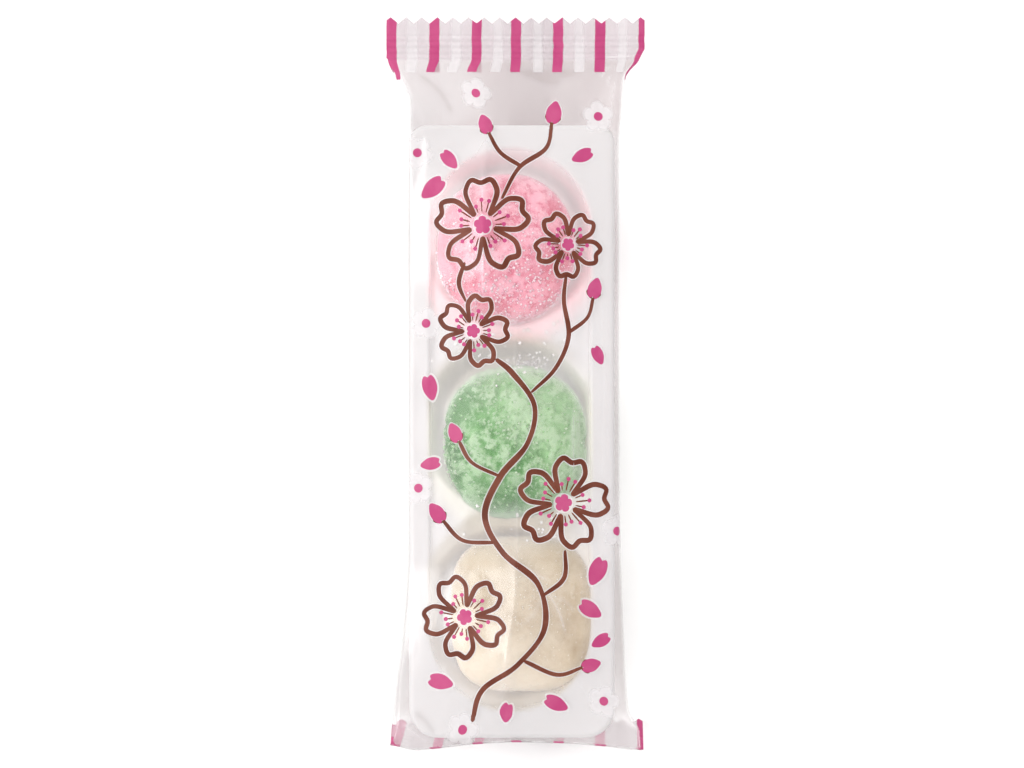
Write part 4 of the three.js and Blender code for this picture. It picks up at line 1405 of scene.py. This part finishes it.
def dango_material(name):
    """Soft rice dough with sugar pressed into it."""
    dough = DOUGH[name]
    material, w = new_material("dough_" + name)
    light, dark, sugar = (linear(dough[tone]) for tone in ("light", "dark", "sugar"))
    colour = w.group(mottle, Light=light, Dark=dark, Size=dough["size"])["Color"]
    bare = 0.0
    for x, y, z, reach, other in dough["patches"]:
        off = w.vectors("DISTANCE", w.places(), (x * MM, y * MM, z * MM))
        ragged = w.maths("ADD", off, w.maths("MULTIPLY", w.noise(1.6, 3.0), 2.4 * MM))
        here = w.spread(ragged, 1.7 * MM, reach * MM, 0.85, 0.0)
        bare = w.maths("MAXIMUM", here, bare)
        colour = w.blend(here, colour, linear(other))
    heaped = w.mark("clump")
    if dough["ragged"]:
        rough = w.maths("SUBTRACT", w.noise(0.4, 3.0, 0.7), 0.5)
        heaped = w.maths("MULTIPLY_ADD", rough, dough["ragged"], heaped)
    caked = w.maths("MULTIPLY", w.spread(heaped, *dough["heaps"]), dough["caking"])
    caked = w.maths("MULTIPLY_ADD", w.maths("MULTIPLY", caked, bare), -0.65, caked)
    colour = w.blend(caked, colour, sugar)
    specks = w.spread(w.noise(0.55, 3.0, 0.6), 0.5, 0.68)
    colour = w.blend(w.maths("MULTIPLY", specks, dough["speckle"]), colour, dark)
    crust = w.group(frost, Grain=0.4, Cover=dough["cover"])
    colour = w.blend(w.maths("MULTIPLY", crust["Mask"], 0.55), colour, sugar)
    # Painted shade on the dango's sides, lighter on its lit far side.
    colour = w.blend(w.mark("rim"), colour, (*dough["rim"], 1.0), "MULTIPLY")
    # Colours along a direction: painted light and shade on one side of the dango.
    for x, y, low, high, share, other in dough["shades"]:
        along = w.vectors("DOT_PRODUCT", w.places(), (x, y, 0.0))
        colour = w.blend(w.spread(along, low * MM, high * MM, 0.0, share), colour, linear(other))
    grit = w.maths("MULTIPLY", w.noise(0.8, 4.0, 0.65), 1.2)
    height = w.maths("ADD", w.maths("MULTIPLY", crust["Height"], 0.6), grit)
    body = w.first("ShaderNodeBsdfPrincipled", {"Base Color": colour, "Normal": w.bump(height, 0.6, 0.22),
                                                "Roughness": w.spread(crust["Mask"], 0, 1, 0.62, 0.4),
                                                **waxy(0.25, 0.9, (1.0, 0.75, 0.65))})
    return finished(material, w, body, 0.6)


# Sugar crystals: pale colour, deep colour and the share of them that are pale.
SUGARS = {
    "pink": ((255, 216, 226), (244, 164, 186), 0.5),
    "green": ((190, 214, 178), (136, 190, 122), 0.35),
    "cream": ((255, 250, 240), (250, 240, 222), 0.6),
    "spilt": ((252, 244, 243), (226, 224, 214), 0.8),
}


def crystal_material(name):
    """Sugar crystals, each of its own tone from pale to deep."""
    pale, deep, share = SUGARS[name]
    material, w = new_material("crystals_" + name)
    tone = w.mark("tone")
    colour = w.blend(w.spread(tone, share - 0.15, share + 0.15), linear(pale), linear(deep))
    body = w.first("ShaderNodeBsdfPrincipled", {"Base Color": colour, "Roughness": w.spread(tone, 0, 1, 0.12, 0.4),
                                                **waxy(0.6, 0.8, (1.0, 1.0, 1.0))})
    return finished(material, w, body)


# Inks: light and dark colour, how much they cover where thin and where full, and the share of light they let by.
INKS = {
    "white": ((228, 224, 226), (222, 218, 220), 0.55, 0.72, 0.92),
    "brown": ((118, 58, 40), (98, 46, 32), 0.96, 1.0, 0.6),
    "magenta": ((194, 74, 126), (184, 66, 118), 0.95, 1.0, 0.6),
}


def ink_material(name):
    """Ink on film, a little thin in places."""
    light, dark, thin, full, lets_by = INKS[name]
    material, w = new_material("print_" + name)
    shade = w.group(mottle, Light=linear(light), Dark=linear(dark), Size=2.2)
    fine = w.group(crinkle, Size=2.4, Haze=0.1)
    alpha = w.maths("MULTIPLY", w.spread(shade["Mask"], 0, 1, thin, full), w.spread(w.mark("full"), 0, 0.6))
    body = w.first("ShaderNodeBsdfPrincipled", {"Base Color": shade["Color"], "Roughness": 0.4, "Alpha": alpha,
                                                "Specular IOR Level": 0.2,
                                                "Normal": w.bump(fine["Height"], 0.35, 0.16)})
    return finished(material, w, body, lets_by)


def make_materials():
    """Every material, by the piece that wears it."""
    return {
        "film": film_material(),
        "tray": tray_material(),
        **{name: dango_material(name) for name in DOUGH},
        **{"sugar_" + name: crystal_material(name) for name in SUGARS},
        **{"ink_" + name: ink_material(name) for name in INKS},
    }


# ---------------------------------------------------------------- floor, light and camera

VIEW_X, VIEW_Y = -0.6, -0.1
VIEW_WIDTH = 174.1  # at the height of the tray's rim
LENS, SENSOR = 200.0, 36.0
FLOOR_REACH = 1.6  # in metres
SKY_COLOUR, KEY_COLOUR = (1.0, 0.99, 0.985, 1), (1.0, 0.99, 0.98)
SKY_LIGHT, SKY_TILT, BRIGHT_SIDE = 0.97, 0.4, (-0.5, 0.42, 0.3)  # the surround's light, and how it leans to one side
KEY_PLACE, KEY_SIZE, KEY_POWER = (-0.73, 0.05, 1.015), 0.6, 4.1  # in metres and watts


def build_floor():
    """The plain pale floor that the pack lies on."""
    material, w = new_material("pale_floor")
    finished(material, w, w.first("ShaderNodeBsdfPrincipled", {"Base Color": (0.97, 0.97, 0.97, 1), "Roughness": 0.9,
                                                               "Specular IOR Level": 0.1}))
    mesh = bpy.data.meshes.new("floor")
    corners = [(x * FLOOR_REACH, y * FLOOR_REACH, 0) for x, y in ((-1, -1), (1, -1), (1, 1), (-1, 1))]
    mesh.from_pydata(corners, [], [(0, 1, 2, 3)])
    mesh.materials.append(material)
    floor = bpy.data.objects.new("floor", mesh)
    bpy.context.scene.collection.objects.link(floor)


def area_light(name, place, size, power, colour):
    """A round lamp that faces the pack."""
    lamp = bpy.data.lights.new(name, "AREA")
    lamp.shape, lamp.size, lamp.energy, lamp.color = "DISK", size, power, colour
    held = bpy.data.objects.new(name, lamp)
    held.location = place
    back = np.array(place) / np.linalg.norm(place)
    held.rotation_euler = (math.acos(back[2]), 0, math.atan2(back[1], back[0]) + math.pi / 2)
    bpy.context.scene.collection.objects.link(held)


def light_studio():
    """A bright surround, a little brighter on the far left, and one lamp whose mirror image lies on the film."""
    world = bpy.data.worlds.new("studio")
    world.use_nodes = True
    w = Wiring(world.node_tree)
    sky = world.node_tree.nodes["Background"]
    sky.inputs["Color"].default_value = SKY_COLOUR
    brighter = w.vectors("DOT_PRODUCT", w.node("ShaderNodeTexCoord").outputs["Generated"], BRIGHT_SIDE)
    w.join(w.maths("MULTIPLY_ADD", brighter, SKY_TILT, SKY_LIGHT), sky.inputs["Strength"])
    bpy.context.scene.world = world
    area_light("key", KEY_PLACE, KEY_SIZE, KEY_POWER, KEY_COLOUR)


def place_camera():
    """The camera, straight above the pack."""
    lens = bpy.data.cameras.new("camera")
    lens.lens, lens.sensor_width = LENS, SENSOR
    lens.clip_start, lens.clip_end = 0.05, 10
    camera = bpy.data.objects.new("camera", lens)
    camera.location = (VIEW_X * MM, VIEW_Y * MM, (VIEW_WIDTH * LENS / SENSOR + RIM_Z) * MM)
    bpy.context.scene.collection.objects.link(camera)
    bpy.context.scene.camera = camera


# ---------------------------------------------------------------- the whole pack

bpy.context.scene.view_settings.view_transform = "Standard"
materials = make_materials()
place_camera()
light_studio()
build_floor()
build_tray(materials["tray"])
build_dango("pink", materials["pink"], swell=0.2, crust=0.1)
build_dango("green", materials["green"], swell=0.35, crust=0.34)
build_dango("cream", materials["cream"], swell=0.2, crust=0.05)
build_sugar(materials)
build_film(materials["film"])
build_seam(materials["film"])
build_print(materials)
